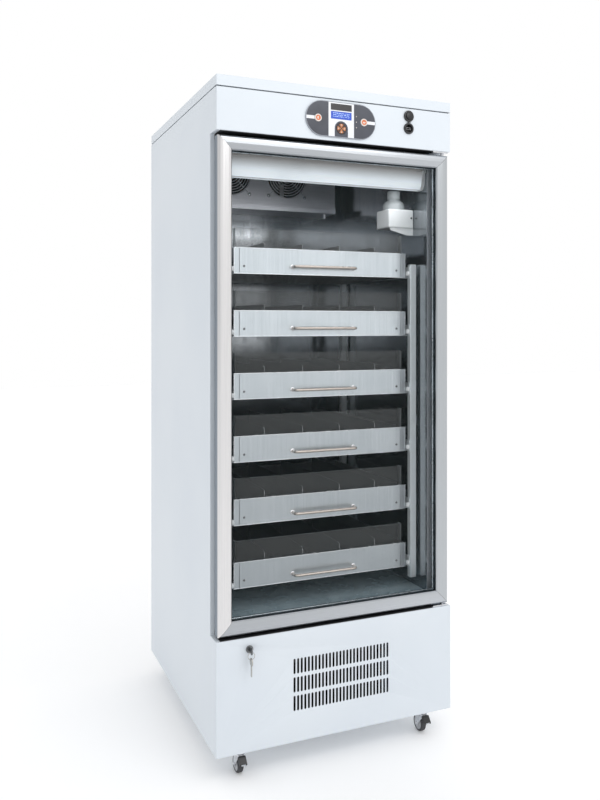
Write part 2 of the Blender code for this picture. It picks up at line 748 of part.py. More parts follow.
def makeDrawer(index):
    number = index + 1
    low = drawerBottom(index)
    front = frontY + drawerFrontY
    rear = front + drawerDepth
    high = low + drawerFrontHeight
    origin = (0, front, low)
    floorZ = low + 0.0006 + drawerSheet
    guardFront = front + drawerFrontDepth + 0.0008
    guardRear = guardFront + guardThickness
    tray = build(f"drawer_{number}_tray",
                 boxOf((-drawerHalf, front, low), (drawerHalf, front + drawerFrontDepth, high)),
                 stainless)
    join(tray, boxOf((-trayHalf, front + 0.004, low + 0.0006), (trayHalf, rear, high - 0.0008)))
    cut(tray,
        boxOf((-drawerHalf + drawerSheet, front + drawerSheet, floorZ),
              (drawerHalf - drawerSheet, front + drawerFrontDepth - 0.0015, high - drawerSheet)),
        boxOf((-trayHalf + drawerSheet, front + drawerFrontDepth - 0.0025, floorZ),
              (trayHalf - drawerSheet, rear - drawerSheet, high + 0.01)))
    flangeZ = low + rollerRise + rollerRadius + 0.0007
    rollerX = trayHalf - drawerSheet / 2
    for sign in (-1, 1):
        edges = sorted((sign * rollerX, sign * (trayHalf + flangeWidth)))
        ends = sorted((sign * rollerX, sign * (trayHalf + 0.0075)))
        join(tray,
             boxOf((edges[0], front + 0.0005, flangeZ), (edges[1], rear - 0.004, flangeZ + 0.0012)),
             cylinderOf(rollerRadius, "X", (0, rear - 0.012, low + 0.0010 + rollerRadius), ends[0], ends[1],
                        12))
    for divider in range(dividerCount):
        x = dividerPlace(divider)
        join(tray, boxOf((x - dividerSheet / 2, guardRear + 0.0006, floorZ - drawerSheet / 2),
                         (x + dividerSheet / 2, rear - drawerSheet / 2, high + dividerRise)))
    hangOn(tray, origin)
    guardHigh = high + guardRise
    half = trayHalf - drawerSheet - 0.0004
    outline = [
        (-half, guardFront), (half, guardFront), (half, guardFront + guardReturn),
        (half - guardThickness, guardFront + guardReturn), (half - guardThickness, guardRear),
        (-half + guardThickness, guardRear), (-half + guardThickness, guardFront + guardReturn),
        (-half, guardFront + guardReturn),
    ]
    guard = build(f"drawer_{number}_guard", prismOf(outline, "Z", floorZ + gap, guardHigh), clearAcrylic)
    hangOn(guard, origin)
    makeHandle(number, front, low, origin)


# The dividers stand at even steps across the inside of a tray.
def dividerPlace(divider):
    return (divider - (dividerCount - 1) / 2) * dividerShare * 2 * trayHalf


def makeHandle(number, front, low, origin):
    z = low + handleRise
    half = handleLength / 2
    outward = front - handleReach + handleRadius
    left = arc((-half + handleRadius + handleBend, outward + handleBend), handleBend, pi, 1.5 * pi, 4)
    path = [(-half + handleRadius, front - gap, z)]
    path += [(x, y, z) for x, y in left]
    path += [(-x, y, z) for x, y in reversed(left)]
    path.append((half - handleRadius, front - gap, z))
    handle = build(f"drawer_{number}_handle", lambda work: addBar(work, path, handleRadius, 8), stainless,
                   True)
    hangOn(handle, origin)


def makeDrawerFrame(name, sign):
    wallX = sign * (linerHalf - gap)
    innerX = sign * (linerHalf - gap - postWidth)
    low = lowDrawerZ - 0.034
    high = highDrawerZ + 0.042
    edges = sorted((wallX, innerX))
    frontPost = boxOf((edges[0], frontY + postFrontY, low),
                      (edges[1], frontY + postFrontY + postDepth, high))
    rearPost = boxOf((edges[0], frontY + postRearY, low), (edges[1], frontY + postRearY + postDepth, high))
    frame = build(name, frontPost, zincPlate)
    join(frame, rearPost)
    webInner = innerX - sign * railThickness
    webs = sorted((webInner, innerX + sign * 0.0005))
    ledges = sorted((sign * (trayHalf + 0.001), webInner + sign * 0.001))
    rollers = sorted((webInner - sign * rollerWidth, webInner + sign * 0.001))
    for index in range(drawerCount):
        bottom = drawerBottom(index)
        rollerPlace = (0, frontY + postFrontY + 0.0046, bottom + rollerRise)
        join(frame,
             boxOf((webs[0], frontY + postFrontY + 0.002, bottom - 0.0004),
                   (webs[1], frontY + postRearY + 0.016, bottom - 0.0004 + railHeight)),
             boxOf((ledges[0], frontY + drawerFrontY + drawerFrontDepth + 0.003,
                    bottom + 0.0006 - ledgeThickness),
                   (ledges[1], frontY + postRearY + 0.014, bottom + 0.0006)),
             cylinderOf(rollerRadius, "X", rollerPlace, rollers[0], rollers[1], 12))


# ---------------------------------------------------------------- controls
def makeControls():
    outline = stadium(0, panelZ, panelHalfHeight, panelSpacing, 10)
    back = frontY - gap
    bezel = build("control_bezel", prismOf(outline, "Y", back - panelThickness, back), charcoal)
    seat = buttonRadius + 0.0006
    displayZ = panelZ + displayRise
    cut(bezel,
        cylinderOf(seat, "Y", (-buttonOffset, frontY, panelZ), -0.01, 0.01, 20),
        cylinderOf(seat, "Y", (buttonOffset, frontY, panelZ), -0.01, 0.01, 20),
        cylinderOf(padRadius + 0.0006, "Y", (0, frontY, panelZ - padDrop), -0.01, 0.01, 24),
        boxOf((-displayWidth / 2 - gap, frontY - 0.01, displayZ - displayHeight / 2 - gap),
              (displayWidth / 2 + gap, frontY + 0.01, displayZ + displayHeight / 2 + gap)))
    build("display_window", boxOf((-displayWidth / 2, back - panelThickness + 0.0005,
                                   displayZ - displayHeight / 2),
                                  (displayWidth / 2, back + 0.006, displayZ + displayHeight / 2)),
                                  displayBlue)
    proud = back - panelThickness - buttonProud
    for name, x in (("left_button", -buttonOffset), ("right_button", buttonOffset)):
        button = build(name, turnedOf([(0, 0), (buttonRadius - 0.001, 0), (buttonRadius, 0.001),
                                       (buttonRadius, 0.012),
                                       (0, 0.012)], "Y", (x, proud, panelZ), 20), orange, True)
        hangOn(button, (x, proud, panelZ))
    pad = build("cursor_pad", turnedOf([(0, 0), (padRadius - 0.001, 0), (padRadius, 0.001),
                                        (padRadius, 0.011),
                                        (0, 0.011)], "Y", (0, proud + 0.0008, panelZ - padDrop), 24),
                                        orange, True)
    hangOn(pad, (0, proud + 0.0008, panelZ - padDrop))


def makeSocket():
    centre = (socketX, frontY, socketZ)
    profile = [(0, -gap + 0.030), (0.0128, -gap + 0.030), (0.0128, 0.0012 + gap), (0.0128, -gap),
               (socketRadius, -gap),
               (socketRadius, -socketProud + 0.0006), (socketRadius - 0.0006, -socketProud),
               (0.0118, -socketProud),
               (0.0112, -0.0034), (0.0112, 0.008), (0, 0.008)]
    socket = build("usb_socket", turnedOf(profile, "Y", centre, 24), blackPlastic)
    join(socket, boxOf((socketX - 0.0065, frontY - 0.0005, socketZ - 0.003),
                       (socketX + 0.0065, frontY + 0.009, socketZ + 0.003)))
    hingeY = frontY - socketProud + 0.0001
    hingeZ = socketZ + capRise / 2
    capZ = socketZ + capRise
    cap = build("socket_cap", cylinderOf(socketRadius, "Y", (socketX, frontY, capZ), -0.0005 - capThickness,
                                         -0.0005, 24),
                blackPlastic)
    join(cap, cylinderOf(0.0098, "Y", (socketX, frontY, capZ), -0.0075, -0.003, 20),
         boxOf((socketX - 0.004, frontY - 0.0048, hingeZ),
               (socketX + 0.004, frontY - 0.0032, hingeZ + 0.006)),
         cylinderOf(0.0014, "X", (socketX, hingeY, hingeZ), -0.0045, 0.0045, 10))
    hangOn(cap, (socketX, hingeY, hingeZ))
    return hingeY, hingeZ


def makeLock():
    centre = (lockX, frontY, lockZ)
    barrel = lockRadius - 0.0020
    profile = [(0, -0.0040), (lockRadius - 0.0012, -0.0040), (lockRadius, -0.0028), (lockRadius, -gap),
               (barrel, -gap), (barrel, 0.024), (0, 0.024)]
    lock = build("door_lock", turnedOf(profile, "Y", centre, 20), zincPlate)
    join(lock,
         boxOf((lockX - keyThickness / 2, frontY - 0.0085, lockZ - 0.0035),
               (lockX + keyThickness / 2, frontY - 0.0030, lockZ + 0.0035)),
         prismOf(circle((frontY - keyHang, lockZ), keyBowRadius * 0.94, 16), "X",
                 lockX - keyThickness / 2 + 0.0001, lockX + keyThickness / 2 - 0.0001),
         boxOf((lockX - 0.004, frontY + 0.020, lockZ - 0.030),
               (lockX + 0.004, frontY + 0.0225, lockZ + 0.003)))
    cut(lock, cylinderOf(0.0028, "X", (lockX, frontY - keyHang, lockZ - 0.0035), -0.01, 0.01, 12))
    hangOn(lock, centre)
    ringY = frontY - keyHang
    ringTop = lockZ - 0.0035
    ringZ = ringTop - ringRadius
    loop = [(ringRadius + ringWire * cos(turn), ringWire * sin(turn)) for turn in
            [2 * pi * step / 6 for step in range(6)]]
    spare = build("spare_key", turnedOf(loop, "Y", (lockX, ringY, ringZ), 20, True), keyBrass)
    bowZ = ringZ - ringRadius - 0.0060
    join(spare,
         prismOf(circle((ringY, bowZ), keyBowRadius, 16), "X", lockX - keyThickness / 2,
                 lockX + keyThickness / 2),
         boxOf((lockX - keyThickness / 2 + 0.0002, ringY - 0.0035, bowZ - 0.040),
               (lockX + keyThickness / 2 - 0.0002, ringY + 0.0035, bowZ)))
    hangOn(spare, (lockX, ringY, ringTop))


# ---------------------------------------------------------------- machine room
condenserHalf = 0.150
condenserHeight = 0.200
condenserY = 0.050
condenserDepth = 0.022
condenserFanRadius = 0.085
compressorRadius = 0.068
compressorX = halfWidth - 0.225
compressorY = frontY + 0.500


def makeCoolingUnit():
    floor = baseZ + sheet + gap
    unitHalf = halfWidth - 0.125
    rear = backY - 0.160
    unit = build("cooling_unit", boxOf((-unitHalf, frontY + 0.030, floor), (unitHalf, rear, floor + 0.002)),
                 unitBlack)
    middle = floor + condenserHeight / 2 + 0.010
    shroud = frontY + condenserY + condenserDepth
    join(unit,
         boxOf((slotCentreX - condenserHalf, frontY + condenserY, floor + 0.001),
               (slotCentreX + condenserHalf, shroud, floor + condenserHeight + 0.010)),
         boxOf((slotCentreX - 0.012, shroud + 0.050, floor + 0.001),
               (slotCentreX + 0.012, shroud + 0.056, middle)),
         cylinderOf(0.030, "Y", (slotCentreX, shroud, middle), 0.0475, 0.095, 16),
         cylinderOf(compressorRadius, "Z", (compressorX, compressorY, floor), 0.001, 0.030, 20),
         turnedOf([(compressorRadius - 0.004, 0.0), (compressorRadius - 0.004, 0.095),
                   (compressorRadius - 0.016, 0.125),
                   (0.020, 0.138), (0, 0.140)], "Z", (compressorX, compressorY, floor + 0.010), 20))
    makeRotor("condenser_fan", slotCentreX, shroud + 0.028, middle, condenserFanRadius, 0.026, 0.026, 5,
              blackPlastic)


# ---------------------------------------------------------------- casters
def makeCaster(name, x, y, trail, braked):
    axleZ = wheelRadius
    wheelY = y + trail
    halfFork = wheelWidth / 2 + forkSideGap
    outside = halfFork + forkSheet
    plateZ = baseZ - gap
    bridgeZ = 2 * wheelRadius + wheelClear
    bridgeTop = bridgeZ + forkBridge
    fork = build(f"{name}_fork",
                 cylinderOf(plateRadius, "Z", (x, y, 0), plateZ - plateThickness, plateZ, 20), zincPlate)
    towards = 1 if trail > 0 else -1
    cheek = [(y - towards * 0.012, bridgeZ + 0.001), (y + towards * 0.020, bridgeZ + 0.001),
             (wheelY + towards * 0.008, axleZ + 0.004), (wheelY + towards * 0.004, axleZ - 0.006),
             (wheelY - towards * 0.005, axleZ - 0.006), (y - towards * 0.013, bridgeZ - 0.006)]
    join(fork,
         cylinderOf(0.010, "Z", (x, y, 0), bridgeTop - 0.0015, plateZ - plateThickness / 2, 12),
         boxOf((x - outside, y - 0.013, bridgeZ), (x + outside, y + 0.019, bridgeTop)),
         prismOf(cheek, "X", x - outside, x - halfFork),
         prismOf(cheek, "X", x + halfFork, x + outside),
         cylinderOf(axleRadius, "X", (x, wheelY, axleZ), -outside - 0.001, outside + 0.001, 10))
    if braked:
        pedal = [(y - 0.0125, bridgeTop + 0.0005), (y - 0.0125, bridgeTop - 0.0075),
                 (y - 0.026, bridgeTop - 0.0195),
                 (y - 0.031, bridgeTop - 0.0195), (y - 0.031, bridgeTop - 0.0155),
                 (y - 0.018, bridgeTop + 0.0005)]
        join(fork, prismOf(pedal, "X", x - 0.011, x + 0.011))
    hangOn(fork, (x, y, 0))
    bore = axleRadius + 0.0005
    rim = wheelWidth / 2
    tyre = wheelRadius - 0.0055
    profile = [(bore, -rim), (0.009, -rim), (0.010, -rim + 0.002), (tyre - 0.0015, -rim + 0.002),
               (tyre, -rim),
               (wheelRadius - 0.0025, -rim), (wheelRadius, -rim + 0.0035), (wheelRadius, rim - 0.0035),
               (wheelRadius - 0.0025, rim), (tyre, rim), (tyre - 0.0015, rim - 0.002), (0.010, rim - 0.002),
               (0.009, rim),
               (bore, rim)]
    wheel = build(f"{name}_wheel", turnedOf(profile, "X", (x, wheelY, axleZ), 24, True), tread, True)
    hangOn(wheel, (x, wheelY, axleZ))


def makeCasters():
    places = (
        ("front_left_caster", -1, frontY + casterFrontY, True),
        ("front_right_caster", 1, frontY + casterFrontY, True),
        ("rear_left_caster", -1, backY - casterRearY, False),
        ("rear_right_caster", 1, backY - casterRearY, False),
    )
    for name, side, y, braked in places:
        trail = casterTrail if braked else -casterTrail
        makeCaster(name, side * (halfWidth - casterInset), y, trail, braked)


# ---------------------------------------------------------------- the whole cabinet
for old in list(bpy.data.objects):
    bpy.data.objects.remove(old, do_unlink=True)

makeCasing()
makeInlet()
makeLid()
makeHeader()
makePlinth()
makeLiner()
makeLightBox()
makeEvaporator()
makeDripTray()
for fanName, fanX in zip(("left", "right"), fanCentres()):
    makeFanGuard(f"{fanName}_fan_guard", fanX)
    makeRotor(f"{fanName}_fan_rotor", fanX, evaporatorFrontY + 0.020, fanZ, fanRadius - 0.005, 0.022, 0.018,
              5,
              blackPlastic)
makeBottle()
makeDoor()
makeBrackets()
for drawerIndex in range(drawerCount):
    makeDrawer(drawerIndex)
makeDrawerFrame("left_drawer_frame", -1)
makeDrawerFrame("right_drawer_frame", 1)
makeControls()
makeSocket()
makeLock()
makeCoolingUnit()
makeCasters()
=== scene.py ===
# Looks for an upright cooled incubator cabinet: glass door, six roll-out drawers, control panel, casters.
# Row frame: metres, +Z up, the door faces -Y.

from math import cos, pi, radians, sin

import bmesh
import bpy
from mathutils import Matrix, Vector


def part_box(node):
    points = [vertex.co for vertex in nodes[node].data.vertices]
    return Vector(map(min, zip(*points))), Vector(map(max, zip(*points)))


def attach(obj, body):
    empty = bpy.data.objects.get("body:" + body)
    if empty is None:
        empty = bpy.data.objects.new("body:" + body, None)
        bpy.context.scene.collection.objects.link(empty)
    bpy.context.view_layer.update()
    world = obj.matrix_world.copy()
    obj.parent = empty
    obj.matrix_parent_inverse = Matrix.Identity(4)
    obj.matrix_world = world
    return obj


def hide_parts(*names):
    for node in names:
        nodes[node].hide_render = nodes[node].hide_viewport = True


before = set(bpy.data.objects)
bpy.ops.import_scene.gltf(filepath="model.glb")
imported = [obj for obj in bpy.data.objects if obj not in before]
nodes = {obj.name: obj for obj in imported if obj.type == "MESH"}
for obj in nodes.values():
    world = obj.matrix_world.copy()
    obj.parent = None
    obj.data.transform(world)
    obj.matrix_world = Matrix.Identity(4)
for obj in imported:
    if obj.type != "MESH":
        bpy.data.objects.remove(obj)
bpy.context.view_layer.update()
scene = bpy.context.scene
drawerNumbers = range(1, 7)


class Wire:
    def __init__(self, tree, socket=None):
        self.tree = tree
        self.socket = socket

    # Adds any node. Its settings go first, then the values or links of its sockets.
    def node(self, kind, settings=None, values=None, output=0):
        made = self.tree.nodes.new("ShaderNode" + kind)
        for name, setting in (settings or {}).items():
            setattr(made, name, setting)
        for name, value in (values or {}).items():
            if isinstance(value, Wire):
                self.tree.links.new(value.socket, made.inputs[name])
            else:
                made.inputs[name].default_value = value
        return Wire(self.tree, made.outputs[output])

    def maths(self, operation, first, second=0.0):
        return self.node("Math", {"operation": operation}, {0: first, 1: second})

    def __add__(self, other):
        return self.maths("ADD", self, other)

    def __radd__(self, other):
        return self.maths("ADD", other, self)

    def __sub__(self, other):
        return self.maths("SUBTRACT", self, other)

    def __rsub__(self, other):
        return self.maths("SUBTRACT", other, self)

    def __mul__(self, other):
        return self.maths("MULTIPLY", self, other)

    def __rmul__(self, other):
        return self.maths("MULTIPLY", other, self)

    def __gt__(self, other):
        return self.maths("GREATER_THAN", self, other)

    def __lt__(self, other):
        return self.maths("LESS_THAN", self, other)

    def clamped(self):
        return self.node("Clamp", None, {0: self})

    def positive(self):
        return self.maths("ABSOLUTE", self)

    def root(self):
        return self.maths("SQRT", self)

    def smooth(self, low, high):
        values = {"Value": self, "From Min": low, "From Max": high}
        return self.node("MapRange", {"interpolation_type": "SMOOTHSTEP"}, values)

    def axis(self, index):
        return self.node("SeparateXYZ", None, {0: self}, index)

    def scaled(self, scale):
        return self.node("VectorMath", {"operation": "MULTIPLY"}, {0: self, 1: scale})

    def noise(self, scale, detail=2.0, rough=0.5):
        values = {"Vector": self, "Scale": scale, "Detail": detail, "Roughness": rough}
        return self.node("TexNoise", None, values)

    def colours(self, first, second):
        full = [(*colour, 1.0) if isinstance(colour, tuple) else colour for colour in (first, second)]
        return self.node("Mix", {"data_type": "RGBA"}, {0: self, 6: full[0], 7: full[1]}, 2)

    def bump(self, strength, distance, below=None):
        values = {"Height": self, "Strength": strength, "Distance": distance}
        if below is not None:
            values["Normal"] = below
        return self.node("Bump", None, values)


def dimmed(colour, factor):
    return tuple(value * factor for value in colour)


# A material: `looks` gets the place on the object and returns what varies over the surface.
def finish(name, looks, **fixed):
    made = bpy.data.materials.new(name)
    made.use_nodes = True
    shader = made.node_tree.nodes["Principled BSDF"]
    for socket, value in fixed.items():
        shader.inputs[socket.replace("_", " ")].default_value = value
    place = Wire(made.node_tree).node("TexCoord", None, None, "Object")
    for socket, value in looks(place).items():
        if isinstance(value, Wire):
            made.node_tree.links.new(value.socket, shader.inputs[socket])
        else:
            shader.inputs[socket].default_value = (*value, 1.0) if isinstance(value, tuple) else value
    return made


paintSet = {"base": (0.715, 0.765, 0.815), "shade": (0.685, 0.738, 0.795), "peel": 900.0, "roughness": 0.36}


def paintLooks(place):
    cloud = place.noise(2.2, 3.0)
    peel = place.noise(paintSet["peel"], 2.0)
    fleck = place.noise(260.0, 1.0)
    base = cloud.smooth(0.35, 0.7).colours(paintSet["base"], paintSet["shade"])
    return {
        "Base Color": base,
        "Roughness": paintSet["roughness"] + 0.08 * cloud + 0.05 * fleck,
        "Normal": peel.bump(0.16, 0.0004, fleck.bump(0.05, 0.0006)),
    }


# Brushed metal: the grain runs along the axis whose scale is small.
# `rise` (low, high, factor) paints light and shade by height: lower down the colour turns to the dark tone
# times `factor`.
def grainLooks(light, dark, grain, roughness, depth=0.12, rise=None):
    def looks(place):
        streak = place.scaled(grain).noise(1.0, 3.0, 0.6)
        fine = place.scaled(dimmed(grain, 4)).noise(1.0, 1.0)
        patch = place.noise(5.0, 3.0)
        smear = place.noise(26.0, 4.0, 0.62)
        base = (0.6 * streak + 0.4 * patch).smooth(0.3, 0.7).colours(light, dark)
        if rise:
            dim = dimmed(dark, rise[2])
            base = place.axis(2).smooth(rise[0], rise[1]).colours(dim, base)
        return {
            "Base Color": base,
            "Roughness": roughness + 0.1 * (streak - 0.5) + 0.08 * smear.smooth(0.45, 0.75),
            "Normal": (0.6 * streak + 0.4 * fine).bump(depth, 0.0003),
        }
    return looks


def plasticLooks(light, dark, roughness, grain, depth):
    def looks(place):
        skin = place.noise(grain, 2.0)
        patch = place.noise(14.0, 3.0)
        return {
            "Base Color": patch.smooth(0.3, 0.7).colours(light, dark),
            "Roughness": roughness + 0.1 * patch,
            "Normal": skin.bump(depth, 0.0003),
        }
    return looks


def glassLooks(tint, alpha, edge):
    def looks(place):
        smear = place.noise(7.0, 4.0, 0.6).smooth(0.5, 0.8)
        film = place.noise(2.0, 2.0)
        fresnel = place.node("Fresnel", None, {"IOR": 1.45})
        return {
            "Base Color": tint,
            "Roughness": 0.03 + 0.05 * smear,
            "Alpha": (alpha + edge * fresnel + 0.02 * smear + 0.015 * film).clamped(),
        }
    return looks


def middleOf(name):
    low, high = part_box(name)
    return (low + high) / 2


doorLow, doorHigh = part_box("door_frame")
bezelLow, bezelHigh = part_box("control_bezel")
panelZ = (bezelLow.z + bezelHigh.z) / 2
panelRadius = (bezelHigh.z - bezelLow.z) / 2
# Its left and right tones are painted light across the door; side is painted shade on the bars' deep faces.
frameSet = {"left": (0.745, 0.735, 0.735), "right": (0.49, 0.515, 0.535), "rail": (0.44, 0.46, 0.485),
            "side": (0.16, 0.20, 0.245)}


# The door's four bars are brushed along their length and meet in mitres.
def frameLooks(place):
    x, z = place.axis(0), place.axis(2)
    side = x.positive()
    fromSide = doorHigh.x - side
    fromEnd = (doorHigh.z - z).maths("MINIMUM", doorHigh.z - z, z - doorLow.z)
    stile = fromSide < fromEnd
    upright = place.scaled((420, 420, 3)).noise(1.0, 3.0, 0.6)
    level = place.scaled((3, 420, 420)).noise(1.0, 3.0, 0.6)
    streak = stile * upright + (1.0 - stile) * level
    # Painted light: the stiles go from a light warm tone on the left to a darker grey on the right, and the
    # rails lighten towards the right.
    paintedLightAcross = x.smooth(-0.2, 0.2).colours(frameSet["left"], frameSet["right"])
    rail = x.smooth(-0.36, 0.36).colours(frameSet["rail"], dimmed(frameSet["rail"], 1.18))
    base = stile.colours(rail, paintedLightAcross)
    apart = fromSide - fromEnd
    mitre = apart.positive() < 0.00045
    worn = streak.smooth(0.2, 0.8).colours(dimmed(frameSet["rail"], 0.86), base)
    blend = (0.25 * streak + 0.75).colours(worn, base)
    # Painted shade: the deeper side faces of the bars turn dark blue-grey.
    paintedShadeSide = place.axis(1).smooth(doorLow.y + 0.009, doorLow.y + 0.013)
    blend = paintedShadeSide.colours(blend, frameSet["side"])
    return {
        "Base Color": mitre.colours(blend, (0.10, 0.095, 0.09)),
        "Roughness": 0.3 + 0.14 * (streak - 0.5),
        "Normal": (streak - 0.8 * mitre).bump(0.12, 0.0003),
    }


lampLow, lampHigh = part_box("light_box")


# The cover's colour darkens to grey-brown towards the top as painted shade; the emission is the lamp's own
# glow, brighter lower down.
def lampLooks(place):
    rise = place.axis(2).smooth(lampLow.z + 0.012, lampLow.z + 0.066)
    frost = place.noise(500.0, 2.0)
    tint = place.scaled((3, 3, 20)).noise(1.0, 2.0)
    return {
        "Base Color": rise.colours((0.80, 0.86, 0.90), (0.34, 0.32, 0.31)),
        "Emission Color": rise.colours((0.38, 0.42, 0.45), (0.03, 0.028, 0.026)),
        "Roughness": 0.32 + 0.1 * tint,
        "Normal": frost.bump(0.04, 0.0003),
    }


panelSet = {"charcoal": (0.052, 0.058, 0.078), "rim": (0.28, 0.30, 0.34), "white": (0.80, 0.82, 0.86),
            "strip": (0.018, 0.016, 0.018), "column": 0.0405, "inner": 0.0335, "bar": 0.0046,
            "arch": 0.0212, "buttonX": 0.0731}


# The printed plate: rim, white column with a dark strip and an arch, and a white bar to each button.
def panelLooks(place):
    chosen = panelSet
    x, z = place.axis(0), place.axis(2) - panelZ
    side = x.positive()
    away = (side - (bezelHigh.x - panelRadius)).maths("MAXIMUM", side - (bezelHigh.x - panelRadius), 0.0)
    reach = (away * away + z * z).root()
    height = z.positive()
    skin = place.noise(1200.0, 2.0)
    patch = place.noise(30.0, 2.0)
    base = patch.smooth(0.3, 0.7).colours(chosen["charcoal"], dimmed(chosen["charcoal"], 0.8))
    bar = (side > chosen["buttonX"]) * (height < chosen["bar"])
    column = side < chosen["column"]
    strip = (side < chosen["inner"]) * (z > 0.0265) * (z < 0.0455)
    below = z + 0.0247
    arch = (side < chosen["arch"]) * (below < 0.0)
    dome = (side * side + below * below) < chosen["arch"] ** 2
    dark = (arch + dome).clamped()
    base = bar.colours(base, chosen["white"])
    base = column.colours(base, chosen["white"])
    base = strip.colours(base, chosen["strip"])
    base = dark.colours(base, chosen["charcoal"])
    base = (reach > panelRadius - 0.0021).colours(base, chosen["rim"])
    return {"Base Color": base, "Roughness": 0.3 + 0.1 * patch, "Normal": skin.bump(0.05, 0.0003)}


displayLow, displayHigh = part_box("display_window")


# A lit blue display with rows of pale marks that spell nothing.
def displayLooks(place):
    x, z = place.axis(0), place.axis(2)
    row = ((z - displayLow.z) * 210.0).maths("FRACT", (z - displayLow.z) * 210.0)
    inRow = (row > 0.28) * (row < 0.74)
    marks = place.scaled((620, 0, 210)).noise(1.0, 0.0) > 0.52
    inRows = (z > displayLow.z + 0.0035) * (z < displayHigh.z - 0.0035)
    inside = (x.positive() < displayHigh.x - 0.006) * inRows
    lit = inRow * marks * inside
    glow = place.noise(60.0, 1.0).colours((0.015, 0.06, 0.42), (0.025, 0.10, 0.55))
    return {
        "Base Color": lit.colours(glow, (0.55, 0.70, 0.95)),
        "Emission Color": lit.colours((0.0, 0.015, 0.16), (0.15, 0.28, 0.6)),
        "Roughness": 0.16 + 0.05 * place.noise(200.0),
    }


# A round key: cream ring, orange disc and a small pale mark. `centre` is (x, z).
def buttonLooks(centre, upright):
    def looks(place):
        x, z = place.axis(0) - centre[0], place.axis(2) - centre[1]
        reach = (x * x + z * z).root()
        across, along = (x, z) if upright else (z, x)
        mark = (across.positive() < 0.0010) * (along.positive() < 0.0034)
        ringed = (reach > 0.0026) * (reach < 0.0038) * (across < 0.0015)
        base = place.noise(300.0).colours((0.72, 0.20, 0.07), (0.60, 0.14, 0.04))
        base = (mark + ringed).clamped().colours(base, (0.80, 0.76, 0.72))
        return {
            "Base Color": (reach > 0.0078).colours(base, (0.78, 0.72, 0.68)),
            "Roughness": 0.34 + 0.06 * place.noise(90.0),
            "Normal": (reach > 0.0078).bump(0.2, 0.0003),
        }
    return looks


padLow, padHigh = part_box("cursor_pad")


def padLooks(place):
    x, z = place.axis(0), place.axis(2) - (padLow.z + padHigh.z) / 2
    reach = (x * x + z * z).root()
    turn = z.maths("ARCTAN2", z, x)
    petal = (turn * 4.0).maths("COSINE", turn * 4.0)
    shown = (petal > -0.35) * (reach > 0.0022) * (reach < 0.0132)
    hot = place.noise(400.0).colours((0.60, 0.24, 0.08), (0.42, 0.14, 0.05))
    return {
        "Base Color": shown.colours((0.055, 0.030, 0.024), hot),
        "Roughness": 0.32 + 0.08 * place.noise(120.0),
        "Normal": shown.bump(0.25, 0.0003),
    }


def bottleLooks(place):
    frost = place.noise(300.0, 2.0)
    band = place.scaled((0, 0, 60)).noise(1.0, 1.0)
    return {
        "Base Color": band.colours((0.62, 0.66, 0.68), (0.48, 0.53, 0.55)),
        "Roughness": 0.22 + 0.12 * frost,
        "Alpha": (0.48 + 0.18 * band + 0.2 * place.node("Fresnel", None, {"IOR": 1.4})).clamped(),
        "Normal": frost.bump(0.1, 0.0004),
    }


def metal(name, light, dark, grain, roughness, depth=0.12, rise=None):
    return finish(name, grainLooks(light, dark, grain, roughness, depth, rise), Metallic=1.0)


def plastic(name, light, dark, roughness, grain=700.0, depth=0.08, metallic=0.0):
    return finish(name, plasticLooks(light, dark, roughness, grain, depth), Metallic=metallic)


def clear(name, tint, alpha, edge):
    return finish(name, glassLooks(tint, alpha, edge), Specular_IOR_Level=0.5)


paint = finish("powderCoat", paintLooks, Coat_Weight=0.12, Coat_Roughness=0.25)
frameMetal = finish("doorAluminium", frameLooks, Metallic=1.0)
# Painted shade: the drawer-front steel darkens lower down.
sheetSteel = metal("brushedSteel", (0.60, 0.65, 0.685), (0.50, 0.55, 0.585), (260, 260, 4), 0.30, 0.10,
                   (0.20, 0.80, 0.92))
# Painted shade: the tray steel is darkened inside the drawers, and darker still low down.
trayShade = metal("trayInsidePaintedShade", (0.34, 0.345, 0.35), (0.24, 0.245, 0.25), (5, 200, 200), 0.3, 0.08,
                  (0.4, 1.3, 0.55))
# Painted highlight: a lighter copy of the steel for folds, edges and spokes.
foldHighlightSteel = metal("foldedSteelPaintedHighlight", (0.86, 0.89, 0.92), (0.72, 0.76, 0.80), (160, 160, 160), 0.24, 0.05)
# Painted light: the liner steel turns lighter low down.
wallSteel = metal("polishedLiner", (0.38, 0.40, 0.42), (0.28, 0.30, 0.32), (60, 60, 1.5), 0.15, 0.03,
                  (0.4, 1.5, 1.3))
coilSteel = metal("evaporatorSheet", (0.88, 0.90, 0.96), (0.74, 0.76, 0.82), (6, 200, 200), 0.34, 0.05)
postSteel = finish("zincSteel", grainLooks((0.86, 0.92, 0.95), (0.78, 0.84, 0.87), (60, 60, 2), 0.34, 0.03),
                   Metallic=0.45)
# Painted shade: the dividers' faces are darkened steel.
dividerShade = metal("dividerSteelPaintedShade", (0.15, 0.155, 0.16), (0.10, 0.105, 0.11), (200, 4, 200), 0.32, 0.06)
ringSteel = metal("ringWire", (0.82, 0.82, 0.86), (0.66, 0.66, 0.70), (90, 90, 90), 0.3, 0.04)
boltSteel = metal("boltSteel", (0.26, 0.27, 0.28), (0.16, 0.165, 0.17), (300, 300, 300), 0.28, 0.05)
brightSteel = metal("brightPlate", (0.82, 0.83, 0.85), (0.60, 0.61, 0.64), (90, 90, 90), 0.14, 0.03)
bowSteel = metal("handleSteel", (0.68, 0.62, 0.57), (0.50, 0.45, 0.41), (6, 500, 500), 0.22, 0.05)
keyMetal = metal("keyNickel", (0.62, 0.61, 0.58), (0.40, 0.38, 0.35), (300, 300, 300), 0.25, 0.06)
